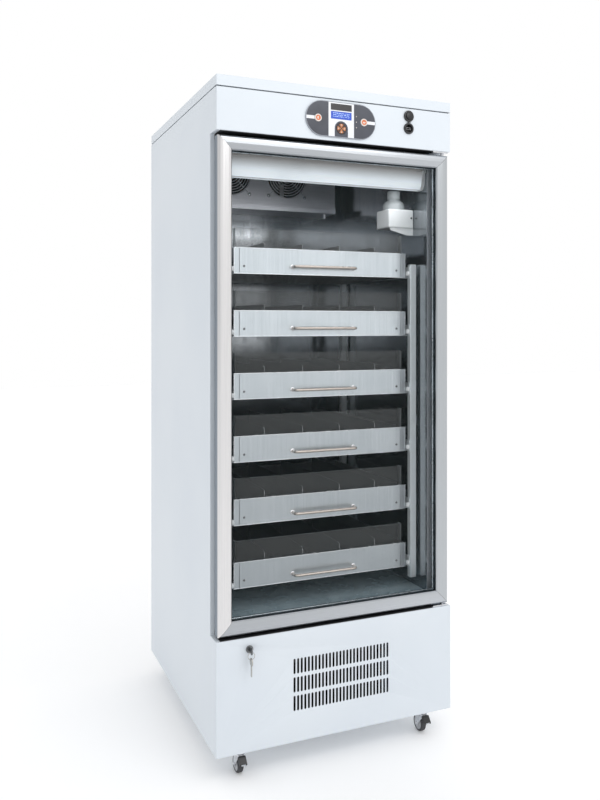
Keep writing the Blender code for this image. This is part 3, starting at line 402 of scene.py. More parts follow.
# Painted shade: the fins are nearly black, standing for the dark behind the slots and inside the housing.
finShadeBlack = metal("finAluminiumPaintedShade", (0.035, 0.035, 0.037), (0.018, 0.018, 0.02), (200, 200, 20), 0.6)
copper = metal("copperPipe", (0.50, 0.25, 0.15), (0.32, 0.16, 0.10), (80, 80, 80), 0.35)
spacerMetal = metal("spacerBar", (0.80, 0.87, 0.91), (0.62, 0.69, 0.74), (200, 200, 200), 0.25, 0.05)
paneGlass = clear("floatGlass", (0.05, 0.07, 0.075), 0.008, 0.40)
guardClear = clear("guardAcrylic", (0.30, 0.315, 0.32), 0.10, 0.5)
edgeClear = clear("polishedEdge", (0.42, 0.46, 0.48), 0.62, 0.3)
# Painted reflection: the floor sheet's light teal stands for the reflection on the liner floor.
floorPaintedReflection = plastic("floorPaintedReflection", (0.60, 0.76, 0.84), (0.42, 0.56, 0.63), 0.22, 60.0, 0.04, 0.35)
sealRubber = plastic("navySeal", (0.045, 0.085, 0.135), (0.022, 0.045, 0.075), 0.5, 500.0, 0.15)
sealant = plastic("darkSealant", (0.035, 0.05, 0.06), (0.02, 0.03, 0.04), 0.45, 700.0, 0.1)
panelPrint = finish("panelPrint", panelLooks, Coat_Weight=0.2, Coat_Roughness=0.15)
displayLit = finish("displayBlue", displayLooks, Coat_Weight=0.3, Coat_Roughness=0.08,
                    Emission_Strength=0.5)
padPrint = finish("padPrint", padLooks)
paleMark = plastic("paleMark", (0.85, 0.78, 0.74), (0.78, 0.70, 0.66), 0.35, 900.0, 0.03)
blackGloss = plastic("blackMoulding", (0.02, 0.02, 0.022), (0.012, 0.012, 0.014), 0.3, 900.0, 0.06)
blackMatt = plastic("blackPlastic", (0.028, 0.028, 0.03), (0.018, 0.018, 0.02), 0.5, 600.0, 0.14)
mouldWhite = plastic("whiteMoulding", (0.80, 0.83, 0.85), (0.74, 0.78, 0.80), 0.32, 400.0, 0.06)
lampCover = finish("lampCover", lampLooks, Emission_Strength=1.0)
bottleSkin = finish("bottlePlastic", bottleLooks)
unitEnamel = finish("unitEnamel", plasticLooks((0.03, 0.03, 0.032), (0.018, 0.018, 0.02), 0.42, 120.0, 0.1))
wheelGrey = finish("wheelTread", plasticLooks((0.06, 0.06, 0.065), (0.035, 0.035, 0.04), 0.55, 300.0, 0.2))
wheelHub = finish("wheelHub", plasticLooks((0.50, 0.51, 0.53), (0.40, 0.41, 0.43), 0.4, 500.0, 0.08))
print("finishes made")


def addBox(work, low, high, index=0):
    corners = [work.verts.new((x, y, z)) for z in (low[2], high[2])
               for x, y in ((low[0], low[1]), (high[0], low[1]), (high[0], high[1]), (low[0], high[1]))]
    for face in ((3, 2, 1, 0), (4, 5, 6, 7), (0, 1, 5, 4), (1, 2, 6, 5), (2, 3, 7, 6), (3, 0, 4, 7)):
        work.faces.new([corners[corner] for corner in face]).material_index = index


axisSpots = {"X": lambda a, b, along: (along, a, b), "Y": lambda a, b, along: (a, along, b),
             "Z": lambda a, b, along: (a, b, along)}


def addPrism(work, outline, axis, start, end, index=0):
    spot = axisSpots[axis]
    first, second = [[work.verts.new(spot(a, b, along)) for a, b in outline] for along in (start, end)]
    made = [work.faces.new(first), work.faces.new(list(reversed(second)))]
    for low in range(len(outline)):
        high = (low + 1) % len(outline)
        made.append(work.faces.new((first[high], first[low], second[low], second[high])))
    for face in made:
        face.material_index = index


# A turned shape. The profile holds (radius, distance along the axis); radius 0 is a pole.
def addTurned(work, profile, axis, centre, segments=32, ring=False, index=0, wobble=None):
    spot = axisSpots[axis]
    a0, b0, along0 = {"X": (centre[1], centre[2], centre[0]), "Y": (centre[0], centre[2], centre[1]),
                      "Z": centre}[axis]
    rings = []
    for radius, along in profile:
        if radius == 0:
            rings.append([work.verts.new(spot(a0, b0, along0 + along))])
            continue
        loop = []
        for step in range(segments):
            angle = 2 * pi * step / segments
            reach = radius * (1 + wobble(angle)) if wobble else radius
            loop.append(work.verts.new(spot(a0 + reach * cos(angle), b0 + reach * sin(angle),
                                            along0 + along)))
        rings.append(loop)
    pairs = list(zip(rings, rings[1:])) + ([(rings[-1], rings[0])] if ring else [])
    made = []
    for lower, upper in pairs:
        for step in range(segments):
            after = (step + 1) % segments
            if len(lower) == 1:
                made.append(work.faces.new((lower[0], upper[step], upper[after])))
            elif len(upper) == 1:
                made.append(work.faces.new((lower[after], lower[step], upper[0])))
            else:
                made.append(work.faces.new((lower[after], lower[step], upper[step], upper[after])))
    if not ring:
        made += [work.faces.new(loop) for loop in (rings[0], rings[-1]) if len(loop) > 1]
    for face in made:
        face.material_index = index


# The grooves round a cap or a ring, as a share of its radius.
def knurled(ribs, depth):
    return lambda angle: -depth * (0.5 + 0.5 * cos(ribs * angle))


# A round bar along a path.
def addBar(work, path, radius, sides=14, index=0):
    points = [Vector(point) for point in path]
    rings = []
    side = None
    for place, point in enumerate(points):
        along = (points[min(place + 1, len(points) - 1)] - points[max(place - 1, 0)]).normalized()
        if side is None:
            side = along.cross(Vector((0, 0, 1)) if abs(along.z) < 0.9 else Vector((1, 0, 0)))
        side = (side - along * side.dot(along)).normalized()
        other = along.cross(side)
        rings.append([work.verts.new(point + radius * (cos(2 * pi * step / sides) * side
                                                       + sin(2 * pi * step / sides) * other))
                      for step in range(sides)])
    made = []
    for lower, upper in zip(rings, rings[1:]):
        made += [work.faces.new((lower[step], lower[(step + 1) % sides], upper[(step + 1) % sides],
                                 upper[step]))
                 for step in range(sides)]
    for face in made + [work.faces.new(rings[0]), work.faces.new(rings[-1])]:
        face.material_index = index


# Four mitred bars round a rectangle in the plane of the door. `slit` leaves a hairline at each mitre.
def addMitred(work, left, right, bottom, top, front, profile, slit=0.0):
    for bar in range(4):
        ends = []
        for end in (0, 1):
            corner = (bar + end) % 4
            loop = []
            for inward, depth in profile:
                x = (left + inward, right - inward, right - inward, left + inward)[corner]
                z = (bottom + inward, bottom + inward, top - inward, top - inward)[corner]
                shift = slit * (1 if end == 0 else -1)
                if bar % 2 == 0:
                    x += shift * (1 if bar == 0 else -1)
                else:
                    z += shift * (1 if bar == 1 else -1)
                loop.append(work.verts.new((x, front + depth, z)))
            ends.append(loop)
        first, second = ends
        work.faces.new(first)
        work.faces.new(list(reversed(second)))
        for low in range(len(profile)):
            high = (low + 1) % len(profile)
            work.faces.new((first[low], first[high], second[high], second[low]))


def roundedBox(left, right, bottom, top, radius, steps=5):
    points = []
    for x, z, start in ((right - radius, bottom + radius, -pi / 2), (right - radius, top - radius, 0),
                        (left + radius, top - radius, pi / 2), (left + radius, bottom + radius, pi)):
        points += [(x + radius * cos(start + pi / 2 * step / steps),
                    z + radius * sin(start + pi / 2 * step / steps))
                   for step in range(steps + 1)]
    return points


def stadium(x, z, radius, spacing, steps=20):
    return [(x + sign * spacing / 2 + radius * cos(start + pi * step / steps),
             z + radius * sin(start + pi * step / steps))
            for sign, start in ((1, -pi / 2), (-1, pi / 2)) for step in range(steps + 1)]


def circle(x, z, radius, steps=32):
    return [(x + radius * cos(2 * pi * step / steps), z + radius * sin(2 * pi * step / steps))
            for step in range(steps)]


def toMesh(work, name):
    bmesh.ops.recalc_face_normals(work, faces=work.faces)
    mesh = bpy.data.meshes.new(name)
    work.to_mesh(mesh)
    work.free()
    return mesh


# A flat plate with holes: filled outlines with a small rolled edge, from a curve. The plane is XZ or XY.
def plateMesh(name, loops, low, high, edge=0.0, plane="XZ"):
    curve = bpy.data.curves.new(name, "CURVE")
    curve.dimensions = "2D"
    curve.fill_mode = "BOTH"
    curve.extrude = (high - low) / 2 - edge
    curve.bevel_depth = edge
    curve.bevel_resolution = 1
    curve.offset = -edge
    for loop in loops:
        spline = curve.splines.new("POLY")
        spline.points.add(len(loop) - 1)
        for point, (a, b) in zip(spline.points, loop):
            point.co = (a, b, 0.0, 1.0)
        spline.use_cyclic_u = True
    holder = bpy.data.objects.new(name, curve)
    scene.collection.objects.link(holder)
    mesh = bpy.data.meshes.new_from_object(holder.evaluated_get(bpy.context.evaluated_depsgraph_get()))
    bpy.data.objects.remove(holder)
    bpy.data.curves.remove(curve)
    turn = Matrix.Rotation(pi / 2, 4, "X") if plane == "XZ" else Matrix.Identity(4)
    shift = (0, (low + high) / 2, 0) if plane == "XZ" else (0, 0, (low + high) / 2)
    mesh.transform(Matrix.Translation(shift) @ turn)
    work = bmesh.new()
    work.from_mesh(mesh)
    bmesh.ops.remove_doubles(work, verts=work.verts, dist=0.00001)
    bpy.data.meshes.remove(mesh)
    return work


# Makes a piece that rides on a body. `draw` fills an empty mesh, or is a mesh being edited already.
def piece(name, body, surfaces, draw, standsFor=(), rounding=0.0, sharp=0.55):
    work = draw
    if callable(draw):
        work = bmesh.new()
        draw(work)
    mesh = toMesh(work, name)
    made = bpy.data.objects.new(name, mesh)
    scene.collection.objects.link(made)
    for surface in surfaces if isinstance(surfaces, (list, tuple)) else (surfaces,):
        mesh.materials.append(surface)
    mesh.shade_smooth()
    mesh.set_sharp_from_angle(angle=sharp)
    if rounding:
        roundEdges(made, rounding)
    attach(made, body)
    if standsFor:
        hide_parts(*standsFor)
    return made


def roundEdges(made, width, segments=2, angle=0.55):
    edge = made.modifiers.new("edges", "BEVEL")
    edge.width = width
    edge.segments = segments
    edge.limit_method = "ANGLE"
    edge.angle_limit = angle
    edge.harden_normals = False


# Gives a CAD node its surface and, where asked, rounded edges.
def dress(node, surface, rounding=0.0):
    shown = nodes[node]
    shown.data.materials.clear()
    shown.data.materials.append(surface)
    if rounding:
        roundEdges(shown, rounding)


# The head of a screw; `facing` is the way it looks, in X and Y.
def addScrew(work, x, y, z, radius, facing=(0, -1)):
    proud = radius * 0.45
    across, along = facing
    profile = [(radius, 0.0002), (radius, 0.0), (radius * 0.86, -proud * 0.75), (radius * 0.5, -proud),
               (radius * 0.42, -proud), (radius * 0.34, -proud * 0.45), (0, -proud * 0.45)]
    axis, way = ("Y", along) if along else ("X", across)
    addTurned(work, [(r, d * -way) for r, d in profile], axis, (x, y, z), 14)


print("tools ready")

stageSet = {"floor": (0.975, 0.975, 0.98), "world": (1.0, 1.0, 1.0), "dim": (0.70, 0.71, 0.72),
            "worldStrength": 1.0}


def makeStage():
    work = bmesh.new()
    bmesh.ops.create_grid(work, x_segments=1, y_segments=1, size=14.0)
    mesh = toMesh(work, "studioFloor")
    floor = bpy.data.objects.new("studioFloor", mesh)
    scene.collection.objects.link(floor)
    mesh.materials.append(finish("floorCard", lambda place: {
        "Emission Color": (1.0, 1.0, 1.0),
        "Base Color": place.noise(3.0, 2.0).colours(stageSet["floor"], dimmed(stageSet["floor"], 0.985)),
        "Roughness": 0.75 + 0.1 * place.noise(40.0),
        "Normal": place.noise(500.0).bump(0.03, 0.0004),
    }, Emission_Strength=0.10))
    world = bpy.data.worlds.new("studio")
    scene.world = world
    world.use_nodes = True
    backdrop = world.node_tree.nodes["Background"]
    around = Wire(world.node_tree).node("TexCoord", None, None, "Generated")
    shade = around.axis(0).smooth(-1.0, -0.1).colours(stageSet["dim"], stageSet["world"])
    world.node_tree.links.new(shade.socket, backdrop.inputs["Color"])
    backdrop.inputs["Strength"].default_value = stageSet["worldStrength"]


def addLamp(name, place, target, size, power):
    lamp = bpy.data.lights.new(name, "AREA")
    lamp.shape = "RECTANGLE"
    lamp.size, lamp.size_y = size
    lamp.energy = power
    holder = bpy.data.objects.new(name, lamp)
    holder.location = place
    holder.rotation_euler = (Vector(target) - Vector(place)).to_track_quat("-Z", "Y").to_euler()
    scene.collection.objects.link(holder)


cameraSet = {"place": (-1.0138, -2.4653, 1.2489), "yaw": radians(-23.06), "lens": 36.18, "sensor": 36.0,
             "shift": -0.0951}


def makeCamera():
    camera = bpy.data.cameras.new("shot")
    camera.sensor_fit = "VERTICAL"
    camera.sensor_height = cameraSet["sensor"]
    camera.lens = cameraSet["lens"]
    camera.shift_y = cameraSet["shift"]
    holder = bpy.data.objects.new("shot", camera)
    holder.location = cameraSet["place"]
    holder.rotation_euler = (pi / 2, 0, cameraSet["yaw"])
    scene.collection.objects.link(holder)
    scene.camera = holder


makeCamera()
makeStage()
addLamp("softFront", (0.5, -2.3, 3.0), (0, -0.3, 1.5), (1.6, 1.2), 15)
# One lamp under the light box, and a soft one just behind the panes.
addLamp("cabinetLamp", (0, -0.285, 1.655), (0, 0.10, 1.0), (0.58, 0.03), 0.38)
addLamp("doorFill", (0, -0.318, 1.05), (0, 0.5, 1.05), (0.60, 1.20), 1.3)
scene.view_settings.view_transform = "Standard"
print("stage set")

casingLow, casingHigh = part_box("outer_casing")
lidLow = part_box("top_lid")[0]
plinthLow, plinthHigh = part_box("plinth_panel")
headerLow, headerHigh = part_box("header_panel")
lockLow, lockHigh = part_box("door_lock")
frontY = headerLow.y
halfWidth = headerHigh.x

for nodeName, rounding in (("outer_casing", 0.0022), ("top_lid", 0.0008), ("header_panel", 0.0006)):
    dress(nodeName, paint, rounding)

seamSet = {"inset": 0.0065, "height": 0.0026, "width": 0.003}


# A dark strip in the step under the lid: painted shadow in the seam.
def makeLidShadowStrip():
    chosen = seamSet
    low = lidLow.z - 0.0028
    front, back = casingLow.y + 0.0006, casingHigh.y - chosen["inset"]
    left, right = -halfWidth + chosen["inset"], halfWidth - chosen["inset"]
    wide = chosen["width"]

    def draw(work):
        for a, b in (((left, front), (right, front + wide)), ((left, back - wide), (right, back)),
                     ((left, front + wide), (left + wide, back - wide)),
                     ((right - wide, front + wide), (right, back - wide))):
            addBox(work, (a[0], a[1], low), (b[0], b[1], low + chosen["height"]))
    piece("lidShadowStrip", "cabinet", sealRubber, draw, rounding=0.0004)


plinthSet = {"columns": 28, "rows": 3, "slotWidth": 0.0063, "slotHeight": 0.0425, "pitch": 0.011,
             "rowPitch": 0.052, "centre": 0.0048, "drop": 0.080, "sheet": 0.001, "fold": 0.012}


def makePlinth():
    chosen = plinthSet
    lockX, lockZ = (lockLow.x + lockHigh.x) / 2, lockHigh.z - 0.0105
    loops = [roundedBox(-halfWidth, halfWidth, plinthLow.z, plinthHigh.z, 0.0016, 3)]
    for row in range(chosen["rows"]):
        top = plinthHigh.z - chosen["drop"] - row * chosen["rowPitch"]
        for column in range(chosen["columns"]):
            x = chosen["centre"] + (column - (chosen["columns"] - 1) / 2) * chosen["pitch"]
            loops.append(roundedBox(x - chosen["slotWidth"] / 2, x + chosen["slotWidth"] / 2,
                                    top - chosen["slotHeight"], top, chosen["slotWidth"] * 0.46, 4))
    loops.append(circle(lockX, lockZ, 0.0090, 24))
    work = plateMesh("plinth", loops, frontY, frontY + 0.0013, 0.0004)
    piece("plinthFront", "cabinet", paint, work, ("plinth_panel",), sharp=0.7)

    def drawFold(work):
        sheet = chosen["sheet"]
        depth = (frontY + 0.0012, frontY + chosen["fold"])
        for low, high in (((-halfWidth, plinthLow.z + 0.0005), (-halfWidth + sheet, plinthHigh.z - 0.0005)),
                          ((halfWidth - sheet, plinthLow.z + 0.0005), (halfWidth, plinthHigh.z - 0.0005)),
                          ((-halfWidth + sheet, plinthLow.z), (halfWidth - sheet, plinthLow.z + sheet)),
                          ((-halfWidth + sheet, plinthHigh.z - sheet), (halfWidth - sheet, plinthHigh.z))):
            addBox(work, (low[0], depth[0], low[1]), (high[0], depth[1], high[1]))
    piece("plinthFolds", "cabinet", paint, drawFold, rounding=0.0003)


backSet = {"screw": 0.0042, "inset": 0.016, "rows": (0.10, 0.55, 1.05, 1.55, 1.86)}


# Screws down both edges of the back, and the blades of the mains inlet.
def makeBack():
    back = casingHigh.y
    middle = middleOf("power_inlet")

    def draw(work):
        for side in (-1, 1):
            x = side * (halfWidth - backSet["inset"])
            for height in backSet["rows"]:
                addScrew(work, x, back, height, backSet["screw"], (0, 1))
    piece("backScrews", "cabinet", brightSteel, draw)

    def drawBlades(work):
        for x, z in ((-0.0065, -0.002), (0.0065, -0.002)):
            addBox(work, (middle.x + x - 0.0008, back - 0.016, middle.z + z - 0.0025),
                   (middle.x + x + 0.0008, back - 0.0045, middle.z + z + 0.0025))
    piece("inletBlades", "cabinet", brightSteel, drawBlades, rounding=0.0003)


gapSet = {"thick": 0.0010, "front": 0.003, "back": 0.0555, "rim": 0.0045, "clear": 0.002, "inset": 0.012}


# Black strips painted as shadow in the gaps over and under the door, cut short of the hinge brackets.
def makeDoorGapShadows():
    chosen = gapSet
    for name, ledge, edge, up in (("upper", headerLow.z, doorHigh.z, -1),
                                  ("lower", plinthHigh.z, doorLow.z, 1)):
        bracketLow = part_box(f"{name}_hinge_bracket")[0]
        left, right = -halfWidth + chosen["inset"], bracketLow.x - chosen["clear"]
        front, back = frontY + chosen["front"], frontY + chosen["back"]

        def draw(work):
            near, far = sorted((ledge + up * 0.0002, ledge + up * (0.0002 + chosen["thick"])))
            addBox(work, (left, front, near), (right, back, far))
            near, far = sorted((ledge + up * 0.0014, edge + up * chosen["rim"]))
            addBox(work, (left, back + 0.0001, near), (right, back + chosen["thick"], far))
        piece(f"{name}GapShadowStrip", "cabinet", blackMatt, draw)


makePlinth()
makeLidShadowStrip()
makeDoorGapShadows()
makeBack()
print("casing dressed")

sealSet = {"ribs": ((0.010, 0.0384), (0.0108, 0.0425), (0.0095, 0.0455), (0.0110, 0.0490), (0.0102, 0.0535),
                    (0.0125, 0.0563), (0.0235, 0.0563), (0.0258, 0.0535), (0.0248, 0.0490),
                    (0.0263, 0.0455), (0.0250, 0.0425), (0.0258, 0.0384))}
spacerSet = {"inner": 0.0425, "outer": 0.0346, "front": 0.0162, "back": 0.0296, "bead": 0.0026}


def makeDoor():
    dress("door_frame", frameMetal, 0.0004)
    for name in ("outer_glass", "inner_glass"):
        dress(name, paneGlass)
    edges = (doorLow.x, doorHigh.x, doorLow.z, doorHigh.z, doorLow.y)
    piece("doorSeal", "door", sealRubber,
          lambda work: addMitred(work, *edges, sealSet["ribs"], 0.0002), ("door_gasket",), rounding=0.0005)
    chosen = spacerSet
    inner, outer, front, back, bead = (chosen[key] for key in ("inner", "outer", "front", "back", "bead"))
    middle = (front + back) / 2
    bar = ((outer, front + bead), (inner, front + bead), (inner + 0.0006, front + bead + 0.001),
           (inner + 0.0006, middle - 0.0008), (inner - 0.0006, middle), (inner + 0.0006, middle + 0.0008),
           (inner + 0.0006, back - bead - 0.001), (inner, back - bead), (outer, back - bead))
    piece("spacerBars", "door", spacerMetal,
          lambda work: addMitred(work, *edges, bar, 0.0001))

    def drawBeads(work):
        for low, high in ((front, front + bead - 0.0001), (back - bead + 0.0001, back)):
            addMitred(work, *edges, ((outer, low), (inner + 0.0003, low), (inner + 0.0003, high),
                                     (outer, high)))
    piece("spacerSealant", "door", sealant, drawBeads)
    for name in ("lower_hinge_bracket", "upper_hinge_bracket"):
        dress(name, brightSteel, 0.0008)


makeDoor()
print("door dressed")

linerLow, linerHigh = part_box("inner_liner")
coilLow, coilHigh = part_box("evaporator_housing")
trayLow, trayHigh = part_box("drip_tray")
ringSet = {"wire": 0.0015, "rings": 8, "inner": 0.0125, "outer": 0.0775, "spoke": 0.0011, "reach": 0.1005,
           "screw": 0.0042}


def makeFanGrille(side):
    chosen = ringSet
    x, _, z = middleOf(f"{side}_fan_guard")
    y = coilLow.y - 0.0034

    def drawRings(work):
        for ring in range(chosen["rings"]):
            radius = chosen["inner"] + (chosen["outer"] - chosen["inner"]) * ring / (chosen["rings"] - 1)
            wire = chosen["wire"]
            loop = [(radius + wire * cos(pi * step / 3), wire * sin(pi * step / 3)) for step in range(6)]
            addTurned(work, loop, "Y", (x, y, z), 48, True)
    piece(f"{side}FanRings", "cabinet", ringSteel, drawRings, (f"{side}_fan_guard",),
          sharp=1.2)

    def drawSpokes(work):
        for step in range(4):
            turn = pi / 4 + step * pi / 2
            across, rise = cos(turn), sin(turn)
            inner, outer = 0.0125, chosen["reach"] - 0.006
            addBar(work, [(x + across * inner, y - 0.0017, z + rise * inner),
                          (x + across * 0.079, y - 0.0017, z + rise * 0.079),
                          (x + across * 0.085, y + 0.0012, z + rise * 0.085),
                          (x + across * outer, y + 0.0014, z + rise * outer)], chosen["spoke"], 8)
            addTurned(work, [(0.0044, 0.0012), (0.0068, 0.0012), (0.0068, 0.0026), (0.0044, 0.0026)], "Y",
                      (x + across * chosen["reach"], y, z + rise * chosen["reach"]), 16, True)
            addScrew(work, x + across * chosen["reach"], y + 0.0013, z + rise * chosen["reach"],
                     chosen["screw"])
    piece(f"{side}FanSpokes", "cabinet", foldHighlightSteel, drawSpokes, sharp=0.9)
    dress(f"{side}_fan_rotor", blackMatt, 0.0004)


floorSet = {"sheet": 0.001, "inset": 0.0008, "lift": 0.0002, "thick": 0.0006, "front": 0.006}


# A sheet laid over the bottom of the cold space, its light teal a painted reflection on the steel floor.
def makeLinerFloor():
    chosen = floorSet
    wall = 0.0012 + chosen["inset"]
    level = linerLow.z + chosen["sheet"] + chosen["lift"]

    def draw(work):
        addBox(work, (linerLow.x + wall, linerLow.y + chosen["front"], level),
               (linerHigh.x - wall, linerHigh.y - wall, level + chosen["thick"]))
    piece("linerFloor", "cabinet", floorPaintedReflection, draw)


coilSet = {"finPitch": 0.0075, "fin": 0.0006, "rows": 5, "rowPitch": 0.034, "tube": 0.0048}


def makeColdEnd():
    dress("inner_liner", wallSteel)
    dress("evaporator_housing", coilSteel, 0.0008)
    dress("drip_tray", coilSteel, 0.0008)
    for side in ("left", "right"):
        makeFanGrille(side)

    def drawFolds(work):
        addBox(work, (coilLow.x, coilLow.y - 0.0009, coilLow.z + 0.0004),
               (coilHigh.x, coilLow.y - 0.0002, coilLow.z + 0.0225))
        addBox(work, (trayLow.x, trayLow.y - 0.0012, trayHigh.z - 0.0040),
               (trayHigh.x, trayLow.y - 0.0002, trayHigh.z))
        addBox(work, (coilHigh.x + 0.0002, coilLow.y, coilLow.z),
               (coilHigh.x + 0.0012, coilLow.y + 0.012, coilHigh.z))
    piece("coilFolds", "cabinet", coilSteel, drawFolds, rounding=0.0004)

    def drawFins(work):
        x = coilLow.x + 0.012
        while x < coilHigh.x - 0.012:
            addBox(work, (x, coilLow.y + 0.064, coilLow.z + 0.010),
                   (x + coilSet["fin"], coilLow.y + 0.098, coilHigh.z - 0.006))
            x += coilSet["finPitch"]
    piece("coilFins", "cabinet", finShadeBlack, drawFins)

    def drawTubes(work):
        for row in range(coilSet["rows"]):
            z = coilLow.z + 0.030 + row * coilSet["rowPitch"]
            addBar(work, [(coilLow.x + 0.006, coilLow.y + 0.081, z),
                          (coilHigh.x - 0.006, coilLow.y + 0.081, z)],
                   coilSet["tube"], 12)
    piece("coilTubes", "cabinet", copper, drawTubes)


def makeLampBox():
    dress("light_box", lampCover, 0.003)
    low, high = lampLow, lampHigh

    def draw(work):
        addBar(work, [(low.x + 0.002, low.y + 0.0222, low.z - 0.0002),
                      (high.x - 0.012, low.y + 0.0222, low.z - 0.0002)],
               0.0016, 10)
    piece("lampLip", "cabinet", mouldWhite, draw)
    outline = [(low.y - 0.0004, low.z + 0.0500), (low.y + 0.0054, low.z + 0.0525),
               (low.y + 0.0135, low.z + 0.0118), (low.y + 0.0213, low.z - 0.0012),
               (low.y + 0.0470, low.z - 0.0012), (low.y + 0.0470, low.z + 0.0600),
               (low.y + 0.0054, low.z + 0.0620), (low.y - 0.0004, low.z + 0.0600)]

    def drawCaps(work):
        for left, right in ((low.x + 0.0006, low.x + 0.0100), (high.x - 0.0110, high.x - 0.0006)):
            addPrism(work, outline, "X", left, right)
    piece("lampEndCaps", "cabinet", mouldWhite, drawCaps, rounding=0.0008)


makeColdEnd()
makeLinerFloor()
makeLampBox()
print("cold end dressed")

bottleSet = {"ribs": 36, "rib": 0.018}


def makeBottle():
    low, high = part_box("buffer_bottle")
    holderLow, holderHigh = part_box("bottle_holder")
    centre = ((low.x + high.x) / 2, (low.y + high.y) / 2, low.z)
    radius = (high.x - low.x) / 2
    tall = high.z - low.z
    dress("bottle_holder", mouldWhite, 0.0016)
    skin = [(0, 0), (radius - 0.004, 0), (radius - 0.001, 0.001), (radius, 0.004), (radius, tall - 0.0475),
            (radius - 0.0012, tall - 0.0435), (radius - 0.006, tall - 0.0362), (0.0200, tall - 0.0310),
            (0.0182, tall - 0.0285), (0.0182, tall - 0.0265), (0, tall - 0.0262)]
    piece("bottleBody", "cabinet", bottleSkin,
          lambda work: addTurned(work, skin, "Z", centre, 40), ("buffer_bottle",), sharp=1.0)
    cap = [(0, tall - 0.0260), (0.0196, tall - 0.0260), (0.0205, tall - 0.0252), (0.0205, tall - 0.0028),
           (0.0190, tall - 0.0006), (0.0165, tall), (0, tall)]
    knurl = knurled(bottleSet["ribs"], bottleSet["rib"])
    piece("bottleCap", "cabinet", bottleSkin,
          lambda work: addTurned(work, cap, "Z", centre, 4 * bottleSet["ribs"], wobble=knurl), sharp=1.0)

    def drawScrew(work):
        addScrew(work, holderHigh.x - 0.0085, holderLow.y - 0.0001, holderHigh.z - 0.0265, 0.0032)
    piece("holderScrew", "cabinet", finShadeBlack, drawScrew)


makeBottle()

drawerSet = {"sheet": 0.001, "recess": 0.0007, "line": 0.0170, "slit": 0.0011, "screwIn": 0.0320,
             "screwUp": 0.0225, "screw": 0.0037, "trayIn": 0.0060, "step": 0.22, "dividers": 4,
             "rise": 0.018, "guard": 0.0128, "flange": 0.0145, "roller": 0.0075, "bend": 0.010,
             "shield": 0.004, "shieldFold": 0.022, "holeRows": 15, "holeColumns": 22, "rowPitch": 0.031,
             "holePitch": 0.0240}


